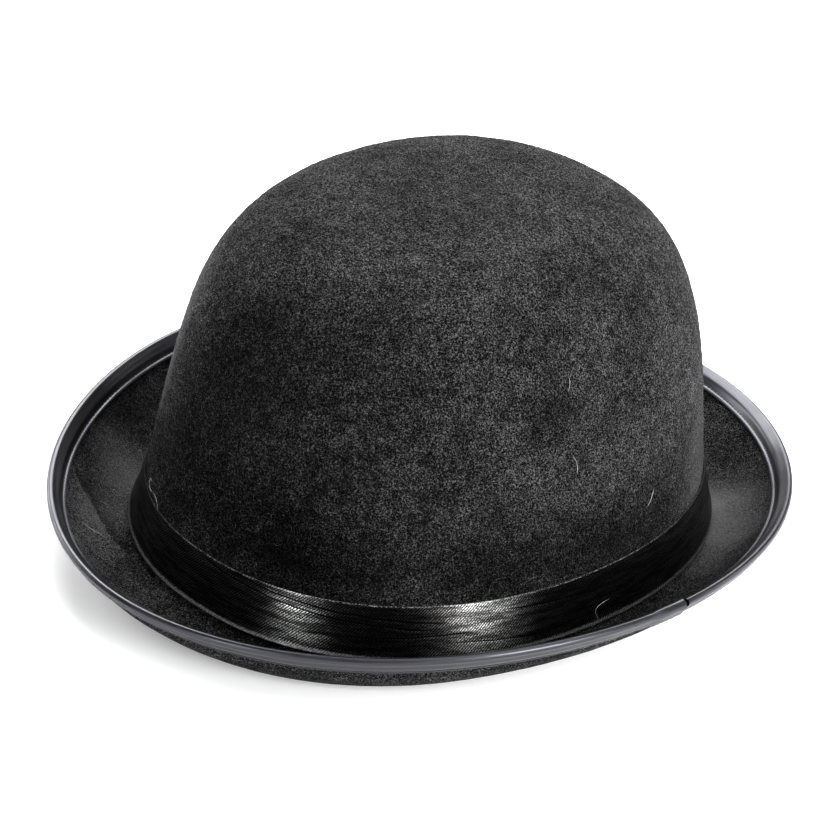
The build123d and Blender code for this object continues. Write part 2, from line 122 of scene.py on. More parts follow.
def value_noise(points, cell, seed):
    """smooth noise in -1..1; points (..., 3) in mm, cell the feature size"""
    lattice = points / cell + 1000.0
    whole = np.floor(lattice).astype(np.int64)
    part = lattice - whole
    part = part * part * part * (part * (part * 6 - 15) + 10)
    total = 0
    for dx in (0, 1):
        weight_x = part[..., 0] if dx else 1 - part[..., 0]
        for dy in (0, 1):
            weight_y = part[..., 1] if dy else 1 - part[..., 1]
            for dz in (0, 1):
                weight_z = part[..., 2] if dz else 1 - part[..., 2]
                total = total + weight_x * weight_y * weight_z * hash_grid(
                    whole[..., 0] + dx, whole[..., 1] + dy, whole[..., 2] + dz, seed)
    return total * 2 - 1


def rough_noise(points, cell, seed):
    """two octaves of value noise, in -1..1"""
    return (value_noise(points, cell, seed)
            + 0.5 * value_noise(points, cell / 2, seed + 17)) / 1.5


def smooth(x):
    x = np.clip(x, 0.0, 1.0)
    return x * x * (3.0 - 2.0 * x)


def bell(x, centre, width):
    return np.exp(-((x - centre) / width) ** 2)


def unit(vectors):
    return vectors / np.linalg.norm(vectors, axis=-1)[..., None]


def stacked(*arrays):
    """arrays broadcast together and stacked on a new last axis"""
    return np.stack(np.broadcast_arrays(*arrays), -1)


def path_length(*axes):
    """length so far along a line given by its coordinates"""
    step = np.sqrt(sum(np.diff(values) ** 2 for values in axes))
    return np.concatenate([np.zeros(step.shape[:-1] + (1,)), np.cumsum(step, -1)], -1)


def plan_length(ang, rad):
    return path_length(rad * np.cos(ang), rad * np.sin(ang))


# --------------------------------------------------------------- hat curves
# ang is in radians throughout; radii and heights are in mm
def oval_rad(half_len, half_wid, ang, exponent):
    across, along = np.abs(np.cos(ang)), np.abs(np.sin(ang))
    return ((across / half_wid) ** exponent
            + (along / half_len) ** exponent) ** (-1.0 / exponent)


def foot_rad(ang):
    return oval_rad(FOOT_HALF_LEN, FOOT_HALF_WID, ang, CROWN_PLAN_EXP)


def rim_rz(ang):
    rad = oval_rad(RIM_HALF_LEN, RIM_HALF_WID, ang, RIM_PLAN_EXP)
    z = (RIM_Z + RIM_SADDLE * np.cos(2 * ang) + RIM_SADDLE4 * np.cos(4 * ang)
         + RIM_TILT * np.sin(ang))
    return rad, z


def rim_length(ang):
    rad, z = rim_rz(ang)
    return path_length(rad * np.cos(ang), rad * np.sin(ang), z)


def crown_z(rise):
    return CROWN_BASE_Z + rise * (CROWN_TOP - CROWN_BASE_Z)


def crown_rad(ang, rise):
    """radius of the crown; rise = 0 at the band's top, 1 at the apex"""
    turn = np.arcsin(np.minimum(1.0, rise ** (DOME_RISE_EXP / 2.0)))
    dome = np.maximum(1e-6, np.cos(turn)) ** (2.0 / DOME_SIDE_EXP)
    flare = ((1 + DOME_TAPER * (1 - rise) + DOME_WAIST * rise * (1 - rise))
             / (1 + DOME_TAPER))
    ratio = CROWN_HALF_LEN / CROWN_HALF_WID
    stretch = np.sqrt((ratio * (1 - rise) + DOME_TOP_RATIO * rise) / ratio)
    seat = BAND_SEAT * (1.0 - smooth((crown_z(rise) - CROWN_BASE_Z) / 5.0))
    return oval_rad(CROWN_HALF_LEN * dome * flare * stretch,
                    CROWN_HALF_WID * dome * flare / stretch, ang, CROWN_PLAN_EXP) - seat


def band_rz(ang, frac):
    """the band's line; frac = 0 at its lower edge, 1 at its upper edge"""
    upper = oval_rad(CROWN_HALF_LEN, CROWN_HALF_WID, ang, CROWN_PLAN_EXP)
    lower = foot_rad(ang)
    lower_z = FOOT_SADDLE * np.cos(2 * ang) + BAND_LIFT
    return lower + (upper - lower) * frac, lower_z + (CROWN_BASE_Z - lower_z) * frac


def seat_rz(ang, frac):
    """outer face of the felt behind the band"""
    rad, z = band_rz(ang, frac)
    return rad - BAND_SEAT - 0.55 * (1 - frac), z


def brim_section(ang, t):
    """the brim's section curve; t = 0 at the foot, 1 at the rim"""
    foot = foot_rad(ang)
    rim, rim_z = rim_rz(ang)
    wave = np.cos(2 * ang)
    first, second = 3 * (1 - t) ** 2 * t, 3 * (1 - t) * t * t
    reach = first * BRIM_REACH[0] + second * BRIM_REACH[1] + t ** 3
    z = (-first * (BRIM_DROP[0] + BRIM_DROP_WAVE[0] * wave)
         - second * (BRIM_DROP[1] + BRIM_DROP_WAVE[1] * wave) + t ** 3 * rim_z)
    return foot + (rim - foot) * reach, z


class Brim:
    """brim section lines at a set of angles, by length in from the rim"""

    def __init__(self, ang):
        steps = 200
        t = 1 - np.arange(steps + 1) / steps
        self.rad, self.z = brim_section(ang[:, None], t[None, :])
        self.inset = path_length(self.rad, self.z)
        self.total = self.inset[:, -1]
        out, rise = -np.gradient(self.rad, axis=1), -np.gradient(self.z, axis=1)
        length = np.hypot(out, rise)
        self.out, self.rise = out / length, rise / length
        self.rim_rad, self.rim_z = rim_rz(ang)
        last, before = brim_section(ang, 1.0), brim_section(ang, 0.97)
        out, rise = last[0] - before[0], last[1] - before[1]
        length = np.hypot(out, rise)
        self.rim_out, self.rim_rise = (out / length)[:, None], (rise / length)[:, None]

    def at(self, inset, above=0.0):
        """radius and z, each (angles, insets), at a height square to the curve"""
        inset = np.atleast_1d(inset)
        inset = np.broadcast_to(inset, (len(self.rad), inset.shape[-1]))
        above = np.broadcast_to(above, inset.shape)
        rad, z = np.empty(inset.shape), np.empty(inset.shape)
        for i, known in enumerate(self.inset):
            out = np.interp(inset[i], known, self.out[i])
            rise = np.interp(inset[i], known, self.rise[i])
            length = np.hypot(out, rise)
            rad[i] = np.interp(inset[i], known, self.rad[i]) - rise / length * above[i]
            z[i] = np.interp(inset[i], known, self.z[i]) + out / length * above[i]
        return rad, z

    def bead(self, turn, size):
        """radius and z round the rim's wire, at turns and distances from its centre"""
        out, above = np.cos(turn) * size, np.sin(turn) * size
        return (self.rim_rad[:, None] + out * self.rim_out - above * self.rim_rise,
                self.rim_z[:, None] + out * self.rim_rise + above * self.rim_out)


def to_xyz(ang, rad, z):
    return stacked(rad * np.cos(ang), rad * np.sin(ang), z + REST)


def leaned_xyz(ang, rad, z):
    """as to_xyz, with the crown's lean growing towards its top"""
    rise = np.maximum(0.0, (z - CROWN_BASE_Z) / (CROWN_TOP - CROWN_BASE_Z))
    return stacked(rad * np.cos(ang) + LEAN_X * rise,
                   rad * np.sin(ang) + LEAN_Y * rise, z + REST)


# --------------------------------------------------------------- mesh helpers
def grid_quads(rows, cols, wrap_rows=False, wrap_cols=False):
    """quads over a rows x cols grid of points, each going along its row first"""
    i, j = np.meshgrid(np.arange(rows if wrap_rows else rows - 1),
                       np.arange(cols if wrap_cols else cols - 1), indexing="ij")
    i_next, j_next = (i + 1) % rows, (j + 1) % cols
    return np.stack([i * cols + j, i * cols + j_next,
                     i_next * cols + j_next, i_next * cols + j], -1).reshape(-1, 4)


TURNED = [0, 3, 2, 1]        # column order that turns quads over, keeping their start


def repeated(faces, copies, points_each):
    """the same faces for each of several equal runs of points"""
    start = (np.arange(copies) * points_each)[:, None, None]
    return (start + faces[None]).reshape(-1, faces.shape[1])


def build(name, points, faces, mat, node=None, uv=None):
    """smooth mesh from points in mm and a list of face arrays; uv is per point"""
    points = points.reshape(-1, 3) * MM
    corners = np.concatenate([face.ravel() for face in faces]).astype(np.int32)
    sizes = np.concatenate([np.full(len(face), face.shape[1]) for face in faces])
    sizes = sizes.astype(np.int32)
    mesh = bpy.data.meshes.new(name)
    mesh.vertices.add(len(points))
    mesh.vertices.foreach_set("co", points.astype(np.float32).ravel())
    mesh.loops.add(len(corners))
    mesh.loops.foreach_set("vertex_index", corners)
    mesh.polygons.add(len(sizes))
    mesh.polygons.foreach_set("loop_start", (np.cumsum(sizes) - sizes).astype(np.int32))
    mesh.polygons.foreach_set("loop_total", sizes)
    mesh.polygons.foreach_set("use_smooth", np.full(len(sizes), True))
    if uv is not None:
        layer = mesh.uv_layers.new(name="strip")
        layer.data.foreach_set("uv", uv[corners].astype(np.float32).ravel())
    mesh.update(calc_edges=True)
    mesh.validate()
    mesh.materials.append(mat)
    ob = bpy.data.objects.new(name, mesh)
    bpy.context.scene.collection.objects.link(ob)
    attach(ob, "root")
    if node:
        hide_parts(node)


def blank_uv(points):
    return np.zeros((points.size // 3, 2))


def strip_solid(outer, inner, name, mat, along, across, node, pick=None):
    """closed thin strip from an outer and an inner grid (stations, columns, 3) in mm.
    The section runs up the outer face and back down the inner one; pick lists the
    columns kept on the inner face. along and across are the uv lengths."""
    stations, cols = outer.shape[:2]
    pick = np.arange(cols) if pick is None else np.asarray(pick)
    points = np.concatenate([outer, inner[:, pick[::-1]]], 1)
    ring = points.shape[1]
    caps = []
    for first, turned in ((0, True), ((stations - 1) * ring, False)):
        for step, (lower, upper) in enumerate(zip(pick[:-1], pick[1:])):
            facing = first + ring - 1 - step
            fan = [(first + col, first + col + 1, facing) for col in range(lower, upper)]
            fan.append((first + upper, facing - 1, facing))
            caps += [face[::-1] if turned else face for face in fan]
    across = np.concatenate([across, across[pick[::-1]]])
    quads = grid_quads(stations, ring, wrap_cols=True)[:, TURNED]
    build(name, points, [quads, np.array(caps)], mat, node,
          stacked(along[:, None], across[None, :]).reshape(-1, 2))


def two_walled(name, outer, inner, quads, edges, uv, mat, node):
    """satin piece from two grids of points; edges pair up the points to close between"""
    total = outer.size // 3
    closing = [np.stack([first, second, total + second, total + first], -1)
               for first, second in edges]
    # the first edge's quads start one corner later when the rows are wrapped
    if quads.shape[0] == len(edges[0][0]) * (outer.shape[1] - 1):
        closing[0] = np.roll(closing[0], -1, 1)
    uv = uv.reshape(-1, 2)
    build(name, np.concatenate([outer.reshape(-1, 3), inner.reshape(-1, 3)]),
          [quads, quads[:, ::-1] + total, *closing], mat, node,
          np.concatenate([uv, uv]))


# --------------------------------------------------------------- node helpers
class Signal:
    """a node output; arithmetic on it adds math nodes"""

    def __init__(self, nodes, socket):
        self.nodes, self.socket = nodes, socket

    def __add__(self, other):
        return self.nodes.math("ADD", self, other)

    def __radd__(self, other):
        return self.nodes.math("ADD", other, self)

    def __sub__(self, other):
        return self.nodes.math("SUBTRACT", self, other)

    def __rsub__(self, other):
        return self.nodes.math("SUBTRACT", other, self)

    def __mul__(self, other):
        return self.nodes.math("MULTIPLY", self, other)

    def __truediv__(self, other):
        return self.nodes.math("DIVIDE", self, other)

    def __pow__(self, other):
        return self.nodes.math("POWER", self, other)

    def __abs__(self):
        return self.nodes.math("ABSOLUTE", self)

    def max(self, other):
        return self.nodes.math("MAXIMUM", self, other)

    def min(self, other):
        return self.nodes.math("MINIMUM", self, other)


class Nodes:
    """a material with one Principled shader; textures work in mm"""

    def __init__(self, name):
        self.mat = bpy.data.materials.new(name)
        self.mat.use_nodes = True
        self.tree = self.mat.node_tree
        self.tree.nodes.clear()
        output = self.node("ShaderNodeOutputMaterial")
        self.shader = self.node("ShaderNodeBsdfPrincipled")
        self.tree.links.new(self.shader.outputs[0], output.inputs[0])

    def put(self, socket, value):
        """link or set an input"""
        if isinstance(value, Signal):
            value = value.socket
        if isinstance(value, bpy.types.NodeSocket):
            self.tree.links.new(value, socket)
            return
        if isinstance(value, tuple) and len(value) == 3 and socket.type == "RGBA":
            value = (*value, 1.0)
        socket.default_value = value

    def fill(self, node, **inputs):
        for key, value in inputs.items():
            self.put(node.inputs[key.replace("_", " ")], value)

    def set(self, **inputs):
        self.fill(self.shader, **inputs)

    def node(self, kind, **settings):
        node = self.tree.nodes.new(kind)
        for key, value in settings.items():
            setattr(node, key, value)
        return node

    def place(self):
        """unscaled object coordinates"""
        return self.node("ShaderNodeTexCoord").outputs["Object"]

    def coords(self, scale=1000.0, offset=(0, 0, 0)):
        """object coordinates, by default in mm"""
        place = self.place()
        mapping = self.node("ShaderNodeMapping")
        self.fill(mapping, Scale=(scale,) * 3, Location=offset, Vector=place)
        return mapping.outputs["Vector"]

    def uv(self, scale=(1, 1, 1), turn=0.0):
        """mm along and across the strip"""
        strip = self.node("ShaderNodeUVMap", uv_map="strip")
        mapping = self.node("ShaderNodeMapping")
        self.fill(mapping, Rotation=(0, 0, turn), Scale=scale, Vector=strip.outputs[0])
        return mapping.outputs["Vector"]

    def noise(self, vector, scale, detail=2.0, rough=0.5, distort=0.0):
        node = self.node("ShaderNodeTexNoise")
        self.fill(node, Vector=vector, Scale=scale, Detail=detail, Roughness=rough,
                  Distortion=distort)
        return Signal(self, node.outputs["Fac"])

    def wave(self, vector, direction="X", **inputs):
        node = self.node("ShaderNodeTexWave", bands_direction=direction)
        self.fill(node, Vector=vector, **inputs)
        return Signal(self, node.outputs["Fac"])

    def math(self, operation, *values, clamp=False):
        node = self.node("ShaderNodeMath", operation=operation, use_clamp=clamp)
        for socket, value in zip(node.inputs, values):
            self.put(socket, value)
        return Signal(self, node.outputs[0])

    def vector(self, operation, *values, output="Value"):
        node = self.node("ShaderNodeVectorMath", operation=operation)
        for socket, value in zip(node.inputs, values):
            self.put(socket, value)
        return Signal(self, node.outputs[output])

    def split(self, vector):
        """x, y and z of a vector"""
        node = self.node("ShaderNodeSeparateXYZ")
        self.put(node.inputs[0], vector)
        return [Signal(self, socket) for socket in node.outputs]

    def ramp(self, value, span, to=(0.0, 1.0), linear=False):
        """map the span to another range, held at its ends"""
        node = self.node("ShaderNodeMapRange",
                         interpolation_type="LINEAR" if linear else "SMOOTHSTEP")
        for i, given in enumerate((value, *span, *to)):
            self.put(node.inputs[i], given)
        return Signal(self, node.outputs[0])

    def mix(self, factor, first, second):
        node = self.node("ShaderNodeMix", data_type="RGBA")
        for i, value in ((0, factor), (6, first), (7, second)):
            self.put(node.inputs[i], value)
        return node.outputs[2]

    def lines(self, vector, width, **settings):
        """thin curly lines where a noise crosses its middle: fibres"""
        distance = abs(self.noise(vector, **settings) - 0.5)
        return self.ramp(distance, span=(0.0, width), to=(1.0, 0.0), linear=True)

    def bump(self, height, strength, distance):
        node = self.node("ShaderNodeBump")
        self.fill(node, Strength=strength, Distance=distance, Height=height)
        return node.outputs[0]


# --------------------------------------------------------------- felt material
def crown_point(deg, rise):
    """point on the crown in metres"""
    ang = np.array([math.radians(deg)])
    rise = np.array([rise])
    return tuple(leaned_xyz(ang, crown_rad(ang, rise), crown_z(rise))[0] * MM)


def brim_point(deg, inset):
    """point just above the brim in metres"""
    ang = np.array([math.radians(deg)])
    rad, z = Brim(ang).at(inset, 1.0)
    return tuple(to_xyz(ang, rad[:, 0], z[:, 0])[0] * MM)


# painted light and shade on the felt: where, degrees, rise up the crown or inset from the rim
# in mm, radius in mm, brightness factor at the middle
PAINTED_LIGHT_AND_SHADE_PATCHES = (
    (crown_point, 143, 0.80, 24, 1.40), (crown_point, 150, 0.50, 22, 1.22),
    (crown_point, 171, 0.66, 18, 1.05), (crown_point, 119, 0.78, 22, 0.78),
    (crown_point, 158, 0.58, 14, 0.72), (crown_point, 92, 0.62, 34, 0.34),
    (crown_point, 78, 0.30, 34, 0.27), (crown_point, 108, 0.10, 36, 0.32),
    (crown_point, 150, 0.05, 26, 0.62), (crown_point, 172, 0.04, 24, 0.66),
    (crown_point, 192, 0.02, 24, 0.60), (crown_point, 128, 0.33, 18, 0.92),
    (crown_point, 208, 0.30, 26, 1.15),
    (brim_point, 62, 22, 13, 1.70), (brim_point, 72, 14, 13, 1.55),
    (brim_point, 46, 20, 13, 1.35), (brim_point, 30, 14, 16, 0.55),
    (brim_point, 222, 27, 15, 1.6), (brim_point, 228, 24, 14, 1.50),
    (brim_point, 242, 14, 18, 1.15))
# painted light on the felt: the same columns, but the last is brightness added at the middle
PAINTED_LIGHT_PATCHES = (
    (brim_point, 236, 28, 15, 0.66), (brim_point, 224, 27, 15, 0.62),
    (brim_point, 212, 31, 11, 0.26), (brim_point, 40, 22, 12, 0.30),
    (brim_point, 47, 31, 12, 0.32), (brim_point, 58, 28, 11, 0.26),
    (crown_point, 42, 0.10, 16, 0.22), (crown_point, 50, 0.30, 16, 0.34),
    (crown_point, 52, 0.50, 15, 0.24), (crown_point, 55, 0.66, 12, 0.10),
    (crown_point, 222, 0.10, 20, 0.24))
PATCH_FADE = 1.5                    # a patch fades out at this many radii

# painted light and shade along the crease pressed in the brim: its ends as (degrees, inset),
# its width and strengths
CREASE_START, CREASE_END = (52.5, 8.8), (71.0, 36.5)
CREASE_WIDTH, CREASE_PAINTED_LIGHT, CREASE_PAINTED_SHADE = 15.0, 1.30, 0.55


def patch_ramp(mat, place, patch, rest):
    """a patch's value at its middle, fading to rest"""
    where, deg, along, radius, value = patch
    distance = mat.vector("DISTANCE", place, where(deg, along))
    return mat.ramp(distance, span=(0.0, radius * PATCH_FADE * MM), to=(value, rest))


def crease_painted_light_and_shade(mat, place):
    """painted light and shade along the crease: painted light on one side of the line, painted
    shade on the other
    """
    start = Vector(brim_point(*CREASE_START))
    run = Vector(brim_point(*CREASE_END)) - start
    run.z = 0
    length = run.length
    run.normalize()
    side = Vector((run.y, -run.x, 0))
    offset = mat.vector("SUBTRACT", place, start, output="Vector")
    # the line wanders by up to 1.5 mm either way
    wander = (mat.noise(mat.coords(offset=(7, 7, 7)), scale=0.16) - 0.5) * (3.0 * MM)
    beside = mat.vector("DOT_PRODUCT", offset, side)
    along = mat.vector("DOT_PRODUCT", offset, run)
    beside = beside + wander
    # painted light on one side of the line, painted shade on the other
    pale = (mat.ramp(beside, span=(0.0, 0.6 * MM))
            * mat.ramp(beside, span=(0.0, CREASE_WIDTH * MM), to=(1.0, 0.0)))
    dark = (mat.ramp(beside, span=(-0.6 * MM, 0.3 * MM), to=(1.0, 0.0))
            * mat.ramp(beside, span=(-CREASE_WIDTH * 0.7 * MM, 0.0)))
    ends = (mat.ramp(along, span=(-2 * MM, 4 * MM))
            * mat.ramp(along, span=(length - 3 * MM, length + 3 * MM), to=(1.0, 0.0)))
    return 1.0 + (pale * CREASE_PAINTED_LIGHT - dark * CREASE_PAINTED_SHADE) * ends


def felt_material():
    """wool felt: a near-black ground with pale tangled fibres of several sizes, with painted
    light and shade in patches, toward the crown's foot and along the brim's crease
    """
    mat = Nodes("pressed_felt")
    coarse = mat.lines(mat.coords(), scale=0.62, width=0.030, distort=1.8, detail=2.0)
    fine = mat.lines(mat.coords(offset=(31, 7, 11)), scale=1.05, width=0.052,
                     distort=1.4, detail=2.0)
    grain = mat.noise(mat.coords(offset=(9, 1, 77)), scale=2.1, detail=1.0, rough=0.6,
                      distort=0.6)
    clump = mat.noise(mat.coords(offset=(3, 31, 7)), scale=1.25, rough=0.7, distort=1.0)
    cloud = mat.noise(mat.coords(offset=(3, 8, 5)), scale=0.045, detail=3.0, rough=0.55)
    blot = mat.noise(mat.coords(offset=(13, 4, 9)), scale=0.20, detail=3.0, rough=0.6)
    # weights below: fibres about half as bright as grain, then blots and clouds
    speckle = (mat.ramp(grain, span=(0.45, 0.66))
               * mat.ramp(clump, span=(0.38, 0.60), to=(0.25, 1.0)))
    nap = (coarse * 0.55).max(fine * 0.50)
    nap = nap * mat.ramp(clump, span=(0.40, 0.58), to=(0.25, 1.0))
    nap = nap + speckle * 0.95
    nap = nap * (0.66 + mat.ramp(blot, span=(0.3, 0.7)) * 0.55)
    nap = nap * (0.72 + mat.ramp(cloud, span=(0.3, 0.7)) * 0.5)
    place = mat.place()
    # painted light and shade: patches lighter or darker than the felt round them
    for patch in PAINTED_LIGHT_AND_SHADE_PATCHES:
        nap = nap * patch_ramp(mat, place, patch, rest=1.0)
    # painted light: patches made paler and softer, with less of the dark ground between the
    # fibres
    for patch in PAINTED_LIGHT_PATCHES:
        nap = nap + patch_ramp(mat, place, patch, rest=0.0)
    # painted shade: the felt darker toward the foot of the crown
    height = mat.split(place)[2]
    foot = (CROWN_BASE_Z + REST) * MM
    painted_foot_shade = (mat.ramp(height, span=(foot + 16 * MM, foot + 38 * MM), to=(0.27, 0.0))
            * mat.ramp(height, span=(foot + 4 * MM, foot + 10 * MM)))
    nap = nap * (1.0 - painted_foot_shade)
    # painted light and shade along the brim's crease
    nap = nap * crease_painted_light_and_shade(mat, place)
    colour = mat.mix((nap ** 1.35).min(1.0), (0.0005,) * 3, (0.128, 0.1255, 0.127))
    relief = nap * 0.8 + grain * 0.6
    mat.set(Base_Color=colour, Roughness=0.60,
            Specular_IOR_Level=mat.ramp(nap, span=(0.0, 0.8), to=(0.0, 0.30), linear=True),
            Sheen_Weight=mat.ramp(nap, span=(0.0, 0.9), to=(0.0, 0.11), linear=True),
            Sheen_Roughness=0.45, Sheen_Tint=(0.80, 0.79, 0.82),
            Normal=mat.bump(relief, strength=0.85, distance=0.0006))
    return mat.mat


# --------------------------------------------------------------- satin material
# sharp creases across the band: start and end as (degrees, height fraction), and
# half width in mm
BAND_CREASES = (
    ((93.0, 1.00), (142.0, 0.66), 0.36), ((90.0, 0.92), (140.0, 0.53), 0.34),
    ((118.0, 0.36), (147.0, 0.48), 0.30), ((142.0, 0.30), (164.0, 0.16), 0.26),
    ((150.0, 0.80), (176.0, 0.66), 0.30))


def band_length(deg):
    """length along the band in mm from its hidden start"""
    ang = np.radians(np.linspace(BAND_START, deg, 400))
    return float(plan_length(ang, band_rz(ang, 0.5)[0])[-1])


def crease_shine(mat, shine, along, across, crease):
    """a dull line along the crease with a bright one just below it"""
    (deg0, frac0), (deg1, frac1), wide = crease
    start, end = band_length(deg0), band_length(deg1)
    slope = (frac1 - frac0) * BAND_WIDTH / (end - start)
    wander = mat.noise(mat.uv(scale=(0.10, 0.02, 1)), scale=1.0, detail=1.0)
    wander = (wander - 0.5) * 0.9
    gap = across - ((along - start) * slope + (frac0 * BAND_WIDTH + wander))
    ends = (mat.ramp(along, span=(start, start + 9.0))
            * mat.ramp(along, span=(end - 9.0, end), to=(1.0, 0.0)))
    dip = mat.ramp(abs(gap), span=(wide * 0.45, wide), to=(1.0, 0.0))
    lit = (mat.ramp(gap, span=(-wide * 2.4, -wide * 1.2))
           * mat.ramp(gap, span=(-wide * 1.2, -wide * 0.8), to=(1.0, 0.0)))
    shine = shine * (1.0 - dip * ends * 0.96)
    return shine * (1.0 + lit * ends * 0.8)


def satin_material(name, width, creases=()):
    """black satin: yarns along the strip, a fine diagonal twill, pale selvedges"""
    mat = Nodes(name)
    # twill lines about 0.8 mm apart
    twill = mat.wave(mat.uv(turn=math.radians(45.0)), Scale=0.40, Distortion=1.2,
                     Detail=1.0, Detail_Scale=0.5)
    yarn = mat.noise(mat.uv(scale=(0.5, 5.0, 1)), scale=1.0, rough=0.6)
    speck = mat.noise(mat.uv(scale=(2.2, 2.2, 1)), scale=1.0, rough=0.7)
    soft = mat.noise(mat.uv(scale=(0.02, 0.14, 1)), scale=1.0)
    weave = mat.ramp(twill, span=(0.15, 0.85))
    relief = weave * 0.8 + (yarn * 0.5 + speck * 0.7)
    normal = mat.bump(relief, strength=0.16, distance=0.00014)
    rough = mat.ramp(soft * 0.6 + speck * 0.4, span=(0.3, 0.7), to=(0.26, 0.35),
                     linear=True)
    # selvedges: a fuzzy lower one and a dotted upper one
    along, across, _ = mat.split(mat.uv())
    fuzz = mat.noise(mat.uv(scale=(1.1, 0.7, 1)), scale=1.0, rough=0.6)
    lower = mat.ramp(across + fuzz * 0.9, span=(1.15, 1.75), to=(1.0, 0.0))
    upper = mat.ramp(across, span=(width - 0.55, width - 0.25))
    dots = mat.ramp(mat.noise(mat.uv(scale=(1.5, 1.5, 1)), scale=1.0, detail=1.0),
                    span=(0.42, 0.62))
    selvedge = lower.max(upper * dots)
    selvedge = selvedge * mat.ramp(dots, span=(0.0, 1.0), to=(0.45, 1.0))
    cloth = mat.mix(weave, (0.0003, 0.0003, 0.0004), (0.0014, 0.0014, 0.0016))
    colour = mat.mix(selvedge, cloth, (0.12, 0.118, 0.123))
    # shine: broken by the twill, by specks and by long slanting patches
    patch = mat.ramp(mat.noise(mat.uv(scale=(0.075, 0.60, 1), turn=0.10), scale=1.0,
                               rough=0.6), span=(0.40, 0.60), to=(0.30, 1.0))
    shine = (mat.ramp(twill, span=(0.1, 0.9), to=(0.10, 1.0))
             * (mat.ramp(speck, span=(0.40, 0.58), to=(0.08, 1.0)) * patch))
    for crease in creases:
        shine = crease_shine(mat, shine, along, across, crease)
    tangent = mat.node("ShaderNodeTangent", direction_type="UV_MAP", uv_map="strip")
    mat.set(Base_Color=colour, Roughness=rough, Specular_IOR_Level=shine, IOR=1.9,
            Anisotropic=1.0, Anisotropic_Rotation=0.25, Sheen_Weight=0.05,
            Sheen_Roughness=0.22, Tangent=tangent.outputs[0], Normal=normal)
    return mat.mat


# --------------------------------------------------------------- other materials
LAP_LENGTH = math.radians(TAPE_LAP) * float(rim_rz(np.radians(np.array([TAPE_JOIN])))[0][0])


def edge_tape_material():
    """glossy coated binding with faint lengthwise streaks, a little wear, a painted highlight
    along the hem and painted shade at the lapped end
    """
    mat = Nodes("gloss_edge_tape")
    streak = mat.noise(mat.uv(scale=(0.05, 2.2, 1)), scale=1.0, detail=3.0, rough=0.6)
    grain = mat.noise(mat.uv(scale=(0.9, 1.6, 1)), scale=1.0, rough=0.6)
    wear = mat.noise(mat.coords(offset=(4, 4, 4)), scale=0.08, detail=4.0, rough=0.6)
    along, across, _ = mat.split(mat.uv())
    # rope-like scallops along the puffed hem
    rope = mat.wave(mat.uv(), Scale=0.285, Distortion=0.5)
    hem = (mat.ramp(across, span=(-7.0, -6.65))
           * mat.ramp(across, span=(-6.35, -5.85), to=(1.0, 0.0)))
    relief = streak * 0.5 + grain * 0.12
    relief = relief + rope * hem * 0.9
    colour = mat.mix(mat.ramp(wear, span=(0.35, 0.7)),
                     (0.0040, 0.0040, 0.0050), (0.0085, 0.0085, 0.011))
    # painted highlight: the puffed hem and its edge made pale
    painted_hem_edge_highlight = mat.ramp(across, span=(-7.15, -6.9), to=(1.0, 0.0)) * 1.0
    pale = hem.max(painted_hem_edge_highlight) * mat.ramp(rope, span=(0.1, 0.9), to=(0.35, 1.0))
    colour = mat.mix(pale, colour, (0.105, 0.105, 0.118))
    # painted shade: the strip's start is painted near-black and dull under the lapped end and a
    # little past it, along a bowed line
    bowed = abs((across - 3.4) / 8.0) ** 2.0
    limit = (LAP_LENGTH + 2.7) - bowed * 1.3
    outside_painted_shade = mat.ramp(along - limit, span=(-0.12, 0.12))
    colour = mat.mix(outside_painted_shade, (0.0003, 0.0003, 0.0003), colour)
    mat.set(Base_Color=colour,
            Roughness=mat.ramp(wear, span=(0.3, 0.7), to=(0.34, 0.46), linear=True),
            Specular_IOR_Level=outside_painted_shade * 0.66, Specular_Tint=(0.90, 0.90, 1.0),
            Coat_Weight=outside_painted_shade * 0.22, Coat_Roughness=0.20,
            Coat_Tint=(0.95, 0.95, 1.0),
            Normal=mat.bump(relief, strength=0.24, distance=0.00030))
    return mat.mat


def thread_material():
    """black thread, mottled darker and paler about one colour"""
    mat = Nodes("black_thread")
    colour, darker, paler = (0.012, 0.012, 0.013), 0.55, 1.7
    mottle = mat.noise(mat.coords(), scale=4.0, rough=0.6)
    shade = mat.mix(mat.ramp(mottle, span=(0.3, 0.7)),
                    tuple(value * darker for value in colour),
                    tuple(value * paler for value in colour))
    mat.set(Base_Color=shade, Roughness=0.62, Specular_IOR_Level=0.35, Sheen_Weight=0.25,
            Normal=mat.bump(mottle, strength=0.4, distance=0.0002))
    return mat.mat


def head_tape_material():
    """ribbed head tape, its ribs and yarns weighted about equally"""
    mat = Nodes("ribbed_head_tape")
    rib = mat.wave(mat.uv(), Scale=0.32, Distortion=0.3)
    yarn = mat.noise(mat.uv(scale=(1.5, 6.0, 1)), scale=1.0, detail=3.0, rough=0.6)
    spot = mat.noise(mat.coords(), scale=0.06, detail=3.0, rough=0.6)
    relief = rib * 0.8 + yarn * 0.3
    pale = mat.math("MULTIPLY", rib * 0.6 + yarn * 0.5,
                    mat.ramp(spot, span=(0.25, 0.75), to=(0.7, 1.15)), clamp=True)
    mat.set(Base_Color=mat.mix(pale, (0.007, 0.007, 0.0075), (0.045, 0.045, 0.047)),
            Roughness=0.75, Specular_IOR_Level=0.3, Sheen_Weight=0.3,
            Normal=mat.bump(relief, strength=0.7, distance=0.0004))
    return mat.mat


def label_material():
    """off-white woven label"""
    mat = Nodes("blank_label_weave")
    weft = mat.wave(mat.uv(), direction="Y", Scale=0.7)
    yarn = mat.noise(mat.uv(scale=(5, 1.2, 1)), scale=1.0, detail=3.0, rough=0.6)
    relief = weft * 0.6 + yarn * 0.5
    mat.set(Base_Color=mat.mix(relief, (0.50, 0.49, 0.46), (0.74, 0.73, 0.69)),
            Roughness=0.6, Sheen_Weight=0.2,
            Normal=mat.bump(relief, strength=0.5, distance=0.0002))
    return mat.mat


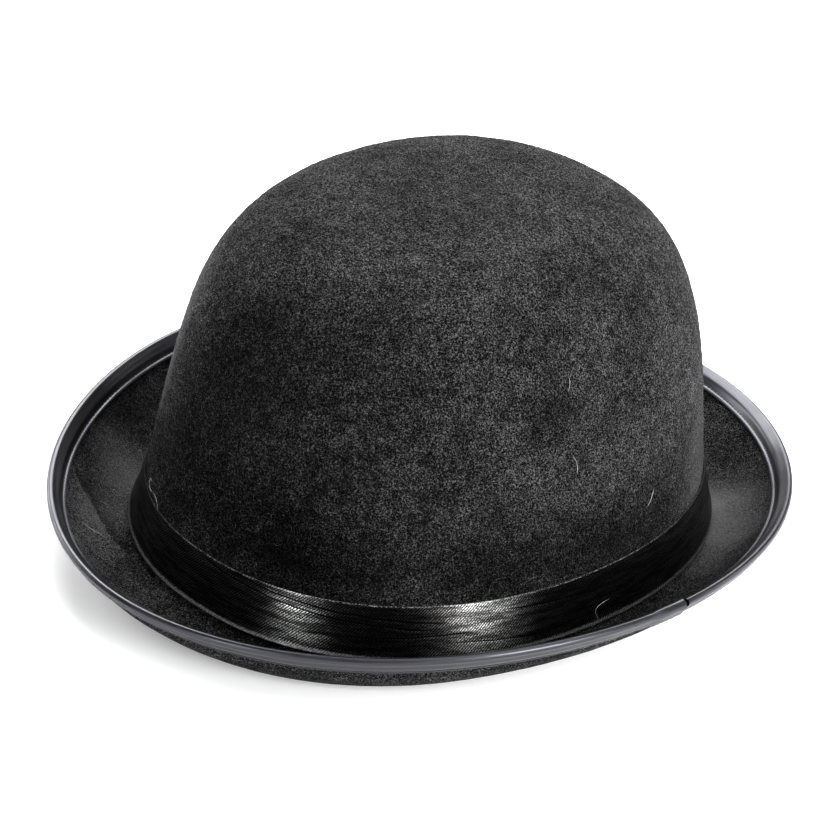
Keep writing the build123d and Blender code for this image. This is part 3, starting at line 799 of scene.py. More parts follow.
def metal_material(name, colour, rough):
    """metal with fine grain and darker stains"""
    mat = Nodes(name)
    grain = mat.noise(mat.coords(), scale=2.0, detail=4.0, rough=0.6)
    stain = mat.noise(mat.coords(offset=(2, 3, 4)), scale=0.3, detail=3.0, rough=0.6)
    stained = tuple(value * 0.6 for value in colour)
    mat.set(Base_Color=mat.mix(mat.ramp(stain, span=(0.3, 0.75)), stained, colour),
            Metallic=1.0,
            Roughness=mat.ramp(grain, span=(0.3, 0.7), to=(rough * 0.8, rough * 1.3),
                               linear=True),
            Normal=mat.bump(grain, strength=0.25, distance=0.0001))
    return mat.mat


def fibre_material(name, dark, pale):
    mat = Nodes(name)
    mottle = mat.noise(mat.coords(), scale=0.35, rough=0.6)
    mat.set(Base_Color=mat.mix(mat.ramp(mottle, span=(0.3, 0.7)), dark, pale),
            Roughness=0.55, Specular_IOR_Level=0.4, Sheen_Weight=0.15,
            Sheen_Roughness=0.4)
    return mat.mat


FELT = felt_material()
BAND_SATIN = satin_material("black_satin", width=BAND_WIDTH, creases=BAND_CREASES)
BOW_SATIN = satin_material("bow_satin", width=BOW_WIDTH)
# the width puts the upper selvedge beyond the keeper
KEEPER_SATIN = satin_material("wrap_satin", width=99.0)
EDGE_TAPE = edge_tape_material()
THREAD = thread_material()
HEAD_TAPE = head_tape_material()
LABEL = label_material()
WIRE = metal_material("drawn_wire", colour=(0.50, 0.50, 0.52), rough=0.30)
SLEEVE = metal_material("crimp_sleeve", colour=(0.66, 0.50, 0.24), rough=0.32)


# --------------------------------------------------------------- felt
FELT_ANGLES = 512
CROWN_ROWS = 98


def crown_rows():
    """rises of the crown's rows, top first, evenly spaced along the surface"""
    rise = 1 - np.linspace(0.0, 1, 400) ** 2
    length = path_length(crown_rad(np.full_like(rise, math.pi / 4), rise), crown_z(rise))
    wanted = length[-1] * (np.arange(CROWN_ROWS) + 0.35) / (CROWN_ROWS - 0.65)
    rows = np.interp(wanted, length, rise)
    rows[-1] = 0.0
    return rows


def felt_profiles(ang, brim):
    """radius, z and thickness of the outer face, each (angles, rows), top to rim"""
    column = ang[:, None]
    rise = crown_rows()
    parts = [(crown_rad(column, rise[None, :]), crown_z(rise), FELT_T)]
    frac = np.array([0.83, 0.66, 0.5, 0.33, 0.16])
    parts.append((*seat_rz(column, frac[None, :]), FELT_T))
    # curve from the crown's foot out to the brim
    start = np.stack(seat_rz(ang, 0.0), -1)
    above = np.stack(band_rz(ang, 0.25), -1)
    start_dir = unit(start - above + np.array([BAND_T + 0.53, 0]))
    join = brim.total[:, None] * 0.765
    end = np.stack(brim.at(join, FELT_ABOVE), -1)[:, 0]
    end_dir = unit(np.stack(brim.at(join - 0.5, FELT_ABOVE), -1)[:, 0] - end)
    reach = np.linalg.norm(end - start, axis=1)[:, None] * 0.34
    control1, control2 = start + start_dir * reach, end - end_dir * reach
    t = np.linspace(0, 1, 13)[None, :, None]
    curve = ((1 - t) ** 3 * start[:, None] + 3 * (1 - t) ** 2 * t * control1[:, None]
             + 3 * (1 - t) * t * t * control2[:, None] + t ** 3 * end[:, None])
    parts.append((curve[..., 0], curve[..., 1], FELT_T))
    # brim, then the thinner edge held by the tape
    inset = join + (12.5 - join) * np.linspace(0, 1, 17)[None, 1:]
    parts.append((*brim.at(inset, FELT_ABOVE), FELT_T))
    inset = np.array([11.4, 10.3, 9.2, 8.1, 6.6, 5.0, 3.4, FELT_EDGE_INSET])
    full = smooth((inset - 9.0) / 3.0)
    above = FELT_T_EDGE / 2 + (FELT_ABOVE - FELT_T_EDGE / 2) * full
    parts.append((*brim.at(inset, above), FELT_T_EDGE + (FELT_T - FELT_T_EDGE) * full))
    parts = [np.broadcast_arrays(*part) for part in parts]
    return [np.concatenate(values, 1) for values in zip(*parts)]


def felt_unevenness(ang, brim, outer):
    """outward shift of the pressed felt; the tape and band seats stay true"""
    row = np.arange(outer.shape[1])
    last = len(row)
    free = 1 - (smooth((row - (CROWN_ROWS - 9)) / 8.0)
                * (1 - smooth((row - (CROWN_ROWS + 14)) / 6.0)))
    free = free * (1 - smooth((row - (last - 11)) / 4.0))
    shift = (0.55 * rough_noise(outer, 46.0, 3) + 0.16 * rough_noise(outer, 13.0, 9)
             + 0.075 * rough_noise(outer, 4.2, 21)) * free[None, :]
    # soft diagonal folds pressed into the brim
    plan_rad = np.hypot(outer[..., 0], outer[..., 1])
    from_rim = brim.rim_rad[:, None] - plan_rad
    on_brim = smooth((row - (CROWN_ROWS + 12)) / 6.0)[None, :] * free[None, :]
    # degrees near the rim, degrees further in, height and width in mm
    for outer_deg, inner_deg, height, width in ((52.0, 74.0, 1.5, 7.0),
                                                (231.0, 214.0, 0.12, 8.0)):
        line = outer_deg + (inner_deg - outer_deg) * np.clip((from_rim - 8.0) / 30.0, 0, 1)
        x = (np.degrees(ang)[:, None] - line) * np.radians(1.0) * plan_rad
        ridge = np.where(x > 0, bell(x, 0, width), bell(x, 0, 1.3))
        shift = shift + height * ridge * on_brim * smooth((from_rim - 8.0) / 5.0)
    return shift[..., None]


def felt_piece():
    """builds the felt; returns its outer points and their normals"""
    ang = TAU * np.arange(FELT_ANGLES) / FELT_ANGLES
    column = ang[:, None]
    brim = Brim(ang)
    rad, z, thick = felt_profiles(ang, brim)
    # normals square to the line between the rows above and below
    out = (np.concatenate([rad[:, 1:], rad[:, -1:]], 1)
           - np.concatenate([np.zeros((FELT_ANGLES, 1)), rad[:, :-1]], 1))
    rise = (np.concatenate([z[:, 1:], z[:, -1:]], 1)
            - np.concatenate([np.full((FELT_ANGLES, 1), CROWN_TOP), z[:, :-1]], 1))
    length = np.hypot(out, rise)
    normal_rad, normal_z = -rise / length, out / length
    normals = np.stack([normal_rad * np.cos(column), normal_rad * np.sin(column),
                        normal_z], -1)
    outer = leaned_xyz(column, rad, z)
    inner = leaned_xyz(column, rad - normal_rad * thick, z - normal_z * thick)
    shift = felt_unevenness(ang, brim, outer)
    outer = outer + normals * shift
    inner = inner + normals * (shift[..., 0] * 0.6)[..., None]
    # rounded edge under the tape
    turn = np.radians([60, 30, 0, -30, -60])
    half = FELT_T_EDGE / 2
    edge = to_xyz(column, *brim.at(FELT_EDGE_INSET - half * np.cos(turn),
                                   half * np.sin(turn)))
    # the inner face keeps fewer rows
    rows = rad.shape[1]
    keep = np.unique(np.concatenate([
        np.arange(0, CROWN_ROWS, 6), np.arange(CROWN_ROWS - 1, rows - 8, 2),
        np.arange(rows - 8, rows)]))
    grid = np.concatenate([outer, edge, inner[:, keep[::-1]]], 1)
    cols = grid.shape[1]
    total = FELT_ANGLES * cols
    apexes = np.array([[LEAN_X, LEAN_Y, CROWN_TOP + REST],
                       [LEAN_X, LEAN_Y, CROWN_TOP - FELT_T + REST]])
    first = np.arange(FELT_ANGLES) * cols
    second = np.roll(first, -1)
    caps = np.concatenate([
        np.stack([np.full(FELT_ANGLES, total), first, second], -1),
        np.stack([np.full(FELT_ANGLES, total + 1), second + cols - 1,
                  first + cols - 1], -1)])
    build("felt_shell", np.concatenate([grid.reshape(-1, 3), apexes]),
          [grid_quads(FELT_ANGLES, cols, wrap_rows=True), caps], FELT, "felt_body")
    return outer, normals


FELT_OUTER, FELT_NORMALS = felt_piece()


# --------------------------------------------------------------- loose fibres
NAP = fibre_material("felt_nap", (0.012, 0.012, 0.012), (0.085, 0.084, 0.085))
LINT = fibre_material("pale_lint", (0.26, 0.255, 0.25), (0.42, 0.41, 0.40))
NAP_COUNT = 5200


def fibres(name, paths, thick, mat, sides=3):
    """closed tapered tubes; paths (fibres, stations, 3) and radii (fibres,) in mm"""
    count, stations = paths.shape[:2]
    along = np.gradient(paths, axis=1)
    along = along / np.maximum(1e-9, np.linalg.norm(along, axis=-1))[..., None]
    helper = np.where(np.abs(along[..., 2:3]) > 0.9, np.array([1.0, 0, 0]),
                      np.array([0, 0, 1.0]))
    side = unit(np.cross(along, helper))
    other = np.cross(along, side)
    taper = 1 - 0.65 * np.abs(np.linspace(-1, 1, stations)) ** 3
    turn = (TAU * np.arange(sides) / sides)[None, None, :, None]
    size = (thick[:, None] * taper[None, :])[..., None, None]
    points = paths[:, :, None] + size * (side[:, :, None] * np.cos(turn)
                                         + other[:, :, None] * np.sin(turn))
    corner = np.arange(1, sides - 1)
    ends = np.concatenate([
        np.stack([0 * corner, corner + 1, corner], -1),
        np.stack([0 * corner, corner, corner + 1], -1) + (stations - 1) * sides])
    each = stations * sides
    build(name, points, [repeated(grid_quads(stations, sides, wrap_cols=True), count, each),
                         repeated(ends, count, each)],
          mat, uv=blank_uv(points))


def felt_surface(col, row):
    """point, normal and two surface directions at fractional places on the felt"""
    col0 = np.floor(col).astype(int) % FELT_ANGLES
    col1 = (col0 + 1) % FELT_ANGLES
    row0 = np.clip(np.floor(row).astype(int), 0, FELT_OUTER.shape[1] - 2)
    part, down = (col - np.floor(col))[:, None], (row - row0)[:, None]
    grid = FELT_OUTER
    point = ((grid[col0, row0] * (1 - part) + grid[col1, row0] * part) * (1 - down)
             + (grid[col0, row0 + 1] * (1 - part) + grid[col1, row0 + 1] * part) * down)
    normal = unit(FELT_NORMALS[col0, row0] * (1 - down)
                  + FELT_NORMALS[col0, row0 + 1] * down)
    round_hat = unit(grid[col1, row0] - grid[col0, row0])
    return point, normal, round_hat, unit(np.cross(normal, round_hat))


def nap(name, count, first_row, end_row, seed):
    """short curved fibres lying on the felt, spread evenly by area"""
    rng = np.random.default_rng(seed)
    rows = np.arange(first_row, end_row)
    ring = np.linalg.norm(FELT_OUTER[:, rows, :2], axis=-1).mean(0)
    step = np.linalg.norm(FELT_OUTER[0, rows + 1] - FELT_OUTER[0, rows], axis=-1)
    weight = ring * step
    row = rng.choice(rows, size=count, p=weight / weight.sum()) + rng.random(count)
    col = rng.random(count) * FELT_ANGLES
    point, normal, round_hat, down_hat = felt_surface(col, row)
    turn = rng.random(count) * TAU
    along = round_hat * np.cos(turn)[:, None] + down_hat * np.sin(turn)[:, None]
    side = np.cross(normal, along)
    length = rng.uniform(0.7, 2.1, count)
    bend = rng.normal(0, 0.42, count) * length
    arch = rng.uniform(0.02, 0.34, count)
    t = np.linspace(-1, 1, 5)
    height = arch[:, None] * (1 - t[None] ** 2) + 0.03
    # about one in eight stands up at one end
    stand = (rng.random(count) < 0.12) * rng.uniform(0.1, 0.5, count)
    height = height + stand[:, None] * np.clip(t[None], 0, 1) ** 1.5
    path = (point[:, None] + along[:, None] * (t[None, :, None] * (length / 2)[:, None, None])
            + side[:, None] * ((t ** 2)[None, :, None] * bend[:, None, None])
            + normal[:, None] * height[..., None])
    fibres(name, path, rng.uniform(0.028, 0.052, count), NAP)


nap("nap_crown_a", NAP_COUNT, 2, CROWN_ROWS - 9, seed=11)
nap("nap_crown_b", NAP_COUNT, 2, CROWN_ROWS - 9, seed=12)
nap("nap_brim", int(NAP_COUNT * 0.8), CROWN_ROWS + 14, FELT_OUTER.shape[1] - 9, seed=13)

# hairs on the crown: start degrees and rise, end degrees and rise, sideways bow in
# degrees, curl in hundredths of rise, radius in mm
CROWN_HAIRS = (
    (69.6, 0.050, 71.4, 0.026, -1.8, 0.8, 0.11), (71.4, 0.026, 74.8, 0.008, 1.6, 0.9, 0.11),
    (166.6, 0.675, 166.0, 0.630, 0.3, 0.0, 0.09), (167.5, 0.430, 169.0, 0.365, 0.5, 0.0, 0.10),
    (196.0, 0.190, 193.8, 0.140, 0.0, 0.0, 0.12), (248.0, 0.52, 251.5, 0.47, 1.0, 0.0, 0.09),
    (310.0, 0.30, 313.0, 0.36, -1.2, 0.0, 0.09), (20.0, 0.62, 23.0, 0.58, 0.8, 0.0, 0.09))


def lint():
    """the few stray pale hairs lying on the hat"""
    t = np.linspace(0, 1, 15)
    arch = np.sin(np.pi * t)
    paths, thick = [], []
    for deg0, rise0, deg1, rise1, bow, curl, size in CROWN_HAIRS:
        ang = np.radians(deg0 + (deg1 - deg0) * t + bow * arch)
        rise = rise0 + (rise1 - rise0) * t + curl * np.sin(2 * np.pi * t) * 0.01
        paths.append(leaned_xyz(ang, crown_rad(ang, rise) + 0.62 + 0.25 * arch,
                                crown_z(rise)))
        thick.append(size)
    # one across the brim
    ang = np.radians(64.6 + 0.5 * arch + 0.9 * smooth((t - 0.8) / 0.2))
    rad, z = Brim(ang).at((16.6 + 10.8 * t)[:, None],
                          (FELT_ABOVE + 0.75 + 0.25 * arch)[:, None])
    paths.append(to_xyz(ang, rad[:, 0], z[:, 0]))
    thick.append(0.10)
    # one hooked, on the band
    ang = np.radians(179.6 - 4.4 * np.sin(np.pi / 2 * np.minimum(1.0, 1.3 * t))
                     + 0.7 * np.clip(t - 0.77, 0, 1) / 0.23)
    rad, z = band_rz(ang, 0.36 - 0.05 * t - 0.27 * t ** 3)
    paths.append(to_xyz(ang, rad + 0.55, z))
    thick.append(0.09)
    fibres("loose_lint", np.array(paths), np.array(thick), LINT, sides=6)


lint()

# --------------------------------------------------------------- satin band
# grooves: line of (degrees, height fraction) points, width and depth in mm
BAND_FOLDS = (
    (((88, 1.04), (100.5, 0.99), (112.5, 0.88), (118.5, 0.84), (134, 0.70)), 0.50, 0.24),
    (((86, 0.96), (100.5, 0.90), (113, 0.78), (118.5, 0.74), (137, 0.56)), 0.55, 0.26),
    (((112, 0.30), (128, 0.42), (140, 0.47), (150, 0.40)), 0.7, 0.20),
    (((124, 0.16), (136, 0.24), (147, 0.22)), 0.6, 0.16),
    (((150, 0.72), (166, 0.60), (182, 0.62)), 0.7, 0.16),
    (((160, 0.86), (176, 0.74), (196, 0.70)), 0.8, 0.15),
    (((60, 0.62), (76, 0.52), (94, 0.55)), 0.9, 0.16),
    (((205, 0.40), (228, 0.55), (250, 0.50)), 0.8, 0.18),
    (((262, 0.75), (284, 0.60), (305, 0.66)), 0.8, 0.18),
    (((300, 0.35), (322, 0.28), (340, 0.34)), 0.8, 0.15))


def fold(deg, frac, line, width, depth):
    """a groove in the band along a line of (degrees, height fraction) points"""
    line_deg, line_frac = np.array(line, float).T
    ends = smooth((deg - line_deg[0]) / 6.0) * smooth((line_deg[-1] - deg) / 6.0)
    off = (frac - np.interp(deg, line_deg, line_frac)) * BAND_WIDTH
    return -depth * ends * bell(off, 0, width)


def band_relief(ang, frac, along):
    """outward lift of the band's face in mm"""
    deg = np.degrees(ang)
    place = stacked(along, frac * BAND_WIDTH, 0 * along)
    mid = np.sin(np.pi * np.clip(frac, 0, 1)) ** 0.6
    slow = rough_noise(place * np.array([0.10, 1.0, 1.0]), 6.0, 5)
    fine = rough_noise(place * np.array([0.22, 1.0, 1.0]) + 50.0, 2.6, 8)
    x, y, z = np.moveaxis(place, -1, 0)
    slanted = rough_noise(np.stack([x * 0.20 + y * 0.55, y - x * 0.06, z], -1), 4.0, 12)
    where = 0.45 + 0.55 * smooth(value_noise(place * np.array([1, 0.05, 1]), 60.0, 31) + 0.5)
    lift = mid * (0.30 * slow + 0.055 * fine * where + 0.10 * slanted * where)
    for line, width, depth in BAND_FOLDS:
        lift = lift + fold(deg, frac, line, width, depth)
        # a lower ridge just above each groove
        ridge = [(line_deg, line_frac + 0.045) for line_deg, line_frac in line]
        lift = lift + fold(deg, frac, ridge, width, -depth * 0.55)
    return lift + 0.16 * mid


def band_piece():
    """satin band; its lapped ends lie under the bow at angle 0"""
    stations = 1500
    ang = np.radians(np.linspace(BAND_START, 360.0 - BAND_START, stations))
    column = ang[:, None]
    deg = np.degrees(column)
    lap = BAND_SEAT * smooth((deg - 349.5) / 5.0)
    frac = np.concatenate([[0.0, 0.010, 0.022, 0.04, 0.065], np.linspace(0.095, 0.945, 36),
                           [0.965, 0.98, 0.991, 1.0]])
    along = plan_length(ang, band_rz(ang, 0.5)[0])
    row, length = frac[None, :], along[:, None]
    rad, z = band_rz(column, row)
    edge = bell(row * BAND_WIDTH, 0, 0.30) + bell((1 - row) * BAND_WIDTH, 0, 0.30)
    loops = 0.5 + 0.5 * np.cos(TAU * length / 1.9)
    hug = 1 - smooth((row - 0.90) / 0.10)          # the top edge stays tight on the crown
    wavy = 0.5 + 0.5 * rough_noise(stacked(along, 0, 0), 17.0, 77)[:, None]
    off_bow = 1 - np.maximum(bell(deg, 0, 15.5), bell(deg, 360, 15.5))
    flare = bell(row * BAND_WIDTH, 0, 1.15) * (0.40 + 0.55 * wavy)
    lift = (band_relief(column, row, length) * hug * off_bow + 0.05 * edge * loops
            + flare * off_bow)
    rad = rad + lap + np.maximum(lift, -0.05)
    z = z - 0.12 * flare
    strip_solid(to_xyz(column, rad, z), to_xyz(column, rad - BAND_T * (1 - 0.3 * edge), z),
                "satin_band", BAND_SATIN, along, row[0] * BAND_WIDTH, "hat_band",
                pick=[0, 2, *range(4, 43, 4)[:0], 4, 8, 12, 16, 20, 24, 28, 32, 36, 40, 42, 44])


band_piece()

# --------------------------------------------------------------- edge tape
# section columns: insets on the top face, turns round the bead, insets underneath
TAPE_TOP = np.array([7.1, 6.95, 6.7, 6.45, 6.2, 5.98, 5.75, 5.55, 5.4, 5.2, 4.9, 4.4, 3.8,
                     3.1, 2.4, 1.7])
TAPE_TURNS = np.radians([108, 90, 70, 50, 30, 10, -10, -30, -50, -70, -90, -108.0])
TAPE_UNDER = np.array([1.7, 2.3, 3.0, 3.7, 4.3, 4.8, 5.15, 5.4, 5.6, 5.85, 6.1, 6.3, 6.4])


def tape_lap(ang):
    """how far the lapped end stands off over the start of the tape"""
    start = TAPE_JOIN - TAPE_LAP + 360.0
    return (TAPE_T + 0.07) * smooth((np.degrees(ang) - (start - 3.2)) / 2.6)


def tape_piece():
    stations = 1560
    deg = np.concatenate([
        np.linspace(TAPE_JOIN - TAPE_LAP, TAPE_JOIN + 1.4, 60),
        np.linspace(TAPE_JOIN + 1.4, TAPE_JOIN + 358.6, stations)[1:-1],
        np.linspace(TAPE_JOIN + 358.6, TAPE_JOIN + 360.0, 30)])
    ang = np.radians(deg)
    brim = Brim(ang)
    along = rim_length(ang)
    lap = tape_lap(ang)[:, None]
    hole = 0.5 + 0.5 * np.cos(TAU * along / STITCH_PITCH)[:, None]   # 1 at a needle hole
    place = stacked(along, 0, 0)
    slow = rough_noise(place, 26.0, 40)[:, None]
    fine = rough_noise(place, 11.0, 41)[:, None]
    # the lapped end stands off a little and leaves a narrow dark gap
    end_up = 0.20 * smooth((deg - (TAPE_JOIN + 358.7)) / 1.3)[:, None]
    gap = 0.24 * bell(deg, TAPE_JOIN + 0.34, 0.40)[:, None]

    def lift(inset, hem):
        """puffed hem and body, drawn down at the seam"""
        body = 0.48 * bell(inset, 2.9, 1.45)
        seam = -bell(inset, SEAM_INSET, 0.42) * (0.05 + 0.12 * hole)
        pucker = bell(inset, 6.4, 0.9) * 0.07 * (1 - hole)
        return ((hem + body + pucker) * (1 + 0.35 * slow) + seam
                + 0.05 * fine * bell(inset, 4.5, 3.0))

    top = lift(TAPE_TOP, hem=0.36 * bell(TAPE_TOP, 6.35, 0.55))
    under = lift(TAPE_UNDER, hem=0.14 * bell(TAPE_UNDER, 6.0, 0.4))
    # the cut end is skewed a little round the section
    swing = np.concatenate([
        -1 + 1.6 * np.linspace(0, 1, len(TAPE_TOP)) ** 1.5, 0.6 + 0.4 * np.cos(TAPE_TURNS),
        0.6 - 1.4 * np.linspace(0, 1, len(TAPE_UNDER))])
    skew = np.radians(0.34 * swing[None, :]
                      * smooth((deg - (TAPE_JOIN + 359.0)) / 1.0)[:, None])

    def face(top_height, bead_rad, under_depth):
        parts = (brim.at(TAPE_TOP, top_height), brim.bead(TAPE_TURNS, bead_rad),
                 brim.at(TAPE_UNDER, -under_depth))
        rad, z = (np.concatenate(values, 1) for values in zip(*parts))
        return to_xyz(ang[:, None] + skew, rad, z)

    outer = face(TAPE_FLAT + TAPE_T + lap + top + end_up * 0.6 - gap,
                 TAPE_BEAD_R + TAPE_T + lap + 0.03 * fine + end_up - gap,
                 TAPE_FLAT + TAPE_T + lap + under + end_up * 0.4 - gap)
    inner = face(TAPE_FLAT + lap + np.maximum(0, top) * 0.9 + end_up * 0.5,
                 TAPE_BEAD_R + lap + end_up * 0.9,
                 TAPE_FLAT + lap + np.maximum(0, under) * 0.9 + end_up * 0.3)
    across = np.concatenate([-TAPE_TOP, 0.2 + np.linspace(0, 4.2, len(TAPE_TURNS)),
                             4.4 + TAPE_UNDER])
    strip_solid(outer, inner, "edge_tape", EDGE_TAPE, along, across,
                "brim_binding",
                pick=[0, 3, 6, 9, 12, 15, 17, 19, 21, 23, 25, 27, 29, 32, 35, 38, 40])


tape_piece()


# --------------------------------------------------------------- stitches
def stitches(name, node, centres, along, away, length, size, sag):
    """one small plump thread loop per centre, its ends dipping into the cloth"""
    sides, rings, flatness = 8, 7, 0.8
    t = np.linspace(-1, 1, rings)
    width = (np.sqrt(np.clip(1 - np.abs(t) ** 3.2, 0.02, 1)) * size)[None, :, None, None]
    t = t[None, :, None, None]
    turn = (TAU * np.arange(sides) / sides)[None, None, :, None]
    side = unit(np.cross(along, away))
    centres, along, away, side = (values[:, None, None, :]
                                  for values in (centres, along, away, side))
    points = (centres + along * t * length / 2
              + away * (width * np.sin(turn) * flatness - sag * np.abs(t) ** 2.5)
              + side * width * np.cos(turn))
    corner = np.arange(sides // 2 - 1)
    end = np.stack([corner, corner + 1, sides - 2 - corner, sides - 1 - corner], -1)
    count, each = len(points), rings * sides
    faces = np.concatenate([
        repeated(grid_quads(rings, sides, wrap_cols=True), count, each),
        repeated(np.concatenate([end[:, ::-1], end + (rings - 1) * sides]), count, each)])
    build(name, points, [faces], THREAD, node, blank_uv(points))


def tangent(point_at, ang):
    step = 1e-3
    return unit(point_at(ang + step) - point_at(ang - step))


def seam_stitches(name, node, side):
    """seam through the edge tape; side = 1 on top, -1 underneath"""
    ang = np.radians(np.linspace(TAPE_JOIN - TAPE_LAP, TAPE_JOIN + 360.0, 6000))
    along = rim_length(ang)
    middle = (np.arange(1, int(along[-1] / STITCH_PITCH)) + 0.5) * STITCH_PITCH
    where = np.interp(middle, along, ang)
    where = where[np.degrees(where) > TAPE_JOIN + 0.4]
    height = TAPE_FLAT + TAPE_T + 0.02 + tape_lap(where)[:, None]

    def point_at(ang, extra=0.0):
        return to_xyz(ang[:, None], *Brim(ang).at(SEAM_INSET, side * (height + extra)))[:, 0]

    centres = point_at(where)
    stitches(name, node, centres, tangent(point_at, where),
             unit(point_at(where, 1.0) - centres), STITCH_PITCH * 0.86, size=0.20, sag=0.16)


seam_stitches("needle_stitches", "binding_needle_thread", side=1)
seam_stitches("bobbin_stitches", "binding_bobbin_thread", side=-1)


# --------------------------------------------------------------- bow
def on_band(along, out, z):
    """points at mm along the band from angle 0, mm out from it and height z"""
    along, out, z = np.broadcast_arrays(along, out, z)
    lower = band_rz(0.0, 0.0)[1]
    frac = (z - lower) / (CROWN_BASE_Z - lower)
    ang = along / band_rz(np.zeros_like(frac), frac)[0]
    rad = band_rz(ang, frac)[0]
    before, after = ang - 1e-3, ang + 1e-3
    rad0, rad1 = band_rz(before, frac)[0], band_rz(after, frac)[0]
    run_x = rad1 * np.cos(after) - rad0 * np.cos(before)
    run_y = rad1 * np.sin(after) - rad0 * np.sin(before)
    length = np.hypot(run_x, run_y)
    return np.stack([rad * np.cos(ang) + run_y / length * out,
                     rad * np.sin(ang) - run_x / length * out, z + REST], -1)


def bow_puff(spread, row):
    """outer layer's height over the layer on the band; spread = 0 middle, 1 end"""
    height = (BOW_MID + 2.35 * smooth((spread - 0.27) / 0.34)
              - 0.50 * smooth((spread - 0.66) / 0.34))
    crease = ((np.cos(row * 7.5) * 0.16 + np.cos(row * 3.1 + 0.8) * 0.12)
              * bell(spread, 0.38, 0.16))
    return height * (1 - 0.10 * row ** 2) + crease


def bow_piece():
    """flat loop of satin lying along the band, rounded at both ends"""
    frac = np.linspace(0, 1, 26)
    row = (frac * 2 - 1)[None, :]
    spread = np.linspace(-1, 1, 90)[:, None]
    half = BOW_HALF - BOW_END_R

    def height(spread):
        """z across the bow, gathered a little at the keeper"""
        pinch = 1 - 0.10 * (1 - smooth((np.abs(spread) - 0.22) / 0.3))
        return (BOW_Z0 + BOW_Z1) / 2 + BOW_WIDTH / 2 * row * pinch

    def loop(depth):
        """the whole loop, at a depth into the ribbon"""
        def end(sign):
            puff = bow_puff(1.0, row)
            turn = np.radians(np.linspace(90, -90, 18)[1:-1, None])[::sign]
            return on_band(sign * half + sign * (BOW_END_R - depth) * np.cos(turn),
                           BOW_BACK + puff / 2 + (puff / 2 - depth) * np.sin(turn),
                           height(1.0))

        front = on_band(spread * half, BOW_BACK + bow_puff(np.abs(spread), row) - depth,
                        height(spread))
        back = on_band(spread[::-1] * half, BOW_BACK + depth, height(spread[::-1]))
        return np.concatenate([front, end(1), back, end(-1)], 0)

    outer, inner = loop(0.0), loop(BAND_T * 0.8)
    stations, cols = outer.shape[:2]
    first = np.arange(stations) * cols
    second = np.roll(first, -1)
    uv = stacked(path_length(*outer[:, cols // 2].T)[:, None], (frac * BOW_WIDTH)[None, :])
    two_walled("satin_bow", outer, inner,
               grid_quads(stations, cols, wrap_rows=True)[:, TURNED],
               [(second, first), (first + cols - 1, second + cols - 1)],
               uv, BOW_SATIN, "band_bow")


bow_piece()


def keeper_piece():
    """strip wrapped round the bow's middle, rounded at its folds"""
    along = np.linspace(-KEEPER_HALF, KEEPER_HALF, 21)[:, None]
    back, front = BAND_SEAT + 0.20, BOW_BACK + BOW_MID + 0.14 + KEEPER_T
    bottom, top = BOW_Z0 - 0.45, BOW_Z1 + 0.45

    def section(depth):
        """(out, z) points round the wrap, with extra ones on its two long sides"""
        rad = max(0.05, 0.55 - depth)
        near, far = back + depth + rad, front - depth - rad
        low, high = bottom + depth + rad, top - depth - rad
        corners = []
        for out, z, start in ((far, high, 90), (far, low, 0), (near, low, -90),
                              (near, high, -180)):
            for turn in np.radians(np.linspace(start, start - 90, 6)):
                corners.append((out + rad * math.cos(turn), z + rad * math.sin(turn)))
        points = []
        for here, after in zip(corners, corners[1:] + corners[:1]):
            points.append(here)
            if abs(after[1] - here[1]) > 4:
                for j in range(1, 14):
                    points.append((here[0] + (after[0] - here[0]) * j / 14,
                                   here[1] + (after[1] - here[1]) * j / 14))
        return np.array(points)

    face = section(0)
    outward = smooth((face[:, 0] - (back + front) / 2) / (front - back) * 2)[None, :]
    ripple = 0.10 * np.cos(along / KEEPER_HALF * 4.2) * outward * 0.8
    outer, inner = (on_band(along, ring[None, :, 0] + ripple, ring[None, :, 1])
                    for ring in (face, section(KEEPER_T)))
    stations, cols = outer.shape[:2]
    first = np.arange(cols)
    second = np.roll(first, -1)
    last = (stations - 1) * cols
    # the uv offset keeps the keeper clear of the lower selvedge
    uv = stacked(path_length(*face.T)[None, :], along + 20.0)
    two_walled("bow_wrap", outer, inner,
               grid_quads(stations, cols, wrap_cols=True)[:, ::-1],
               [(first, second), (last + second, last + first)],
               uv, KEEPER_SATIN, "bow_keeper")


keeper_piece()


# --------------------------------------------------------------- head tape and label
def wall_rad(ang, z):
    """outer face of the felt wall at height z"""
    lower = band_rz(ang, 0.0)[1]
    frac = np.clip((z - lower) / (CROWN_BASE_Z - lower), 0, 1)
    rise = np.clip((z - CROWN_BASE_Z) / (CROWN_TOP - CROWN_BASE_Z), 0, 1)
    return np.where(z >= CROWN_BASE_Z, crown_rad(ang, rise), seat_rz(ang, frac)[0])


def head_tape_piece():
    """ribbed tape standing inside the crown, its ends lapped near angle 90"""
    ang = np.radians(np.linspace(85.0, 455.0, 900))
    column = ang[:, None]
    lap = (SWEAT_T + 0.12) * smooth((np.degrees(column) - 439.0) / 5.0)
    z = np.linspace(SWEAT_Z0, SWEAT_Z1, 22)[None, :]
    height = SWEAT_Z1 - SWEAT_Z0
    frac = (z - SWEAT_Z0) / height
    along = plan_length(ang, wall_rad(ang, 10.0))
    waves = (rough_noise(stacked(along[:, None], z, 0), 24.0, 60) * 0.5 * smooth(frac * 1.4)
             + 0.35 * frac ** 2)
    waves = np.maximum(0, waves + 0.15 * smooth(frac * 1.3))
    edge = bell((1 - frac) * height, 0, 0.5) + bell(frac * height, 0, 0.5)
    rib = 0.05 * np.cos(TAU * along / 1.6)[:, None]
    rad = wall_rad(column, z) - SWEAT_SEAT - lap - waves
    strip_solid(to_xyz(column, rad, z),
                to_xyz(column, rad - SWEAT_T * (1 - 0.3 * edge) - rib, z),
                "head_tape", HEAD_TAPE, along, frac[0] * height, "sweatband")


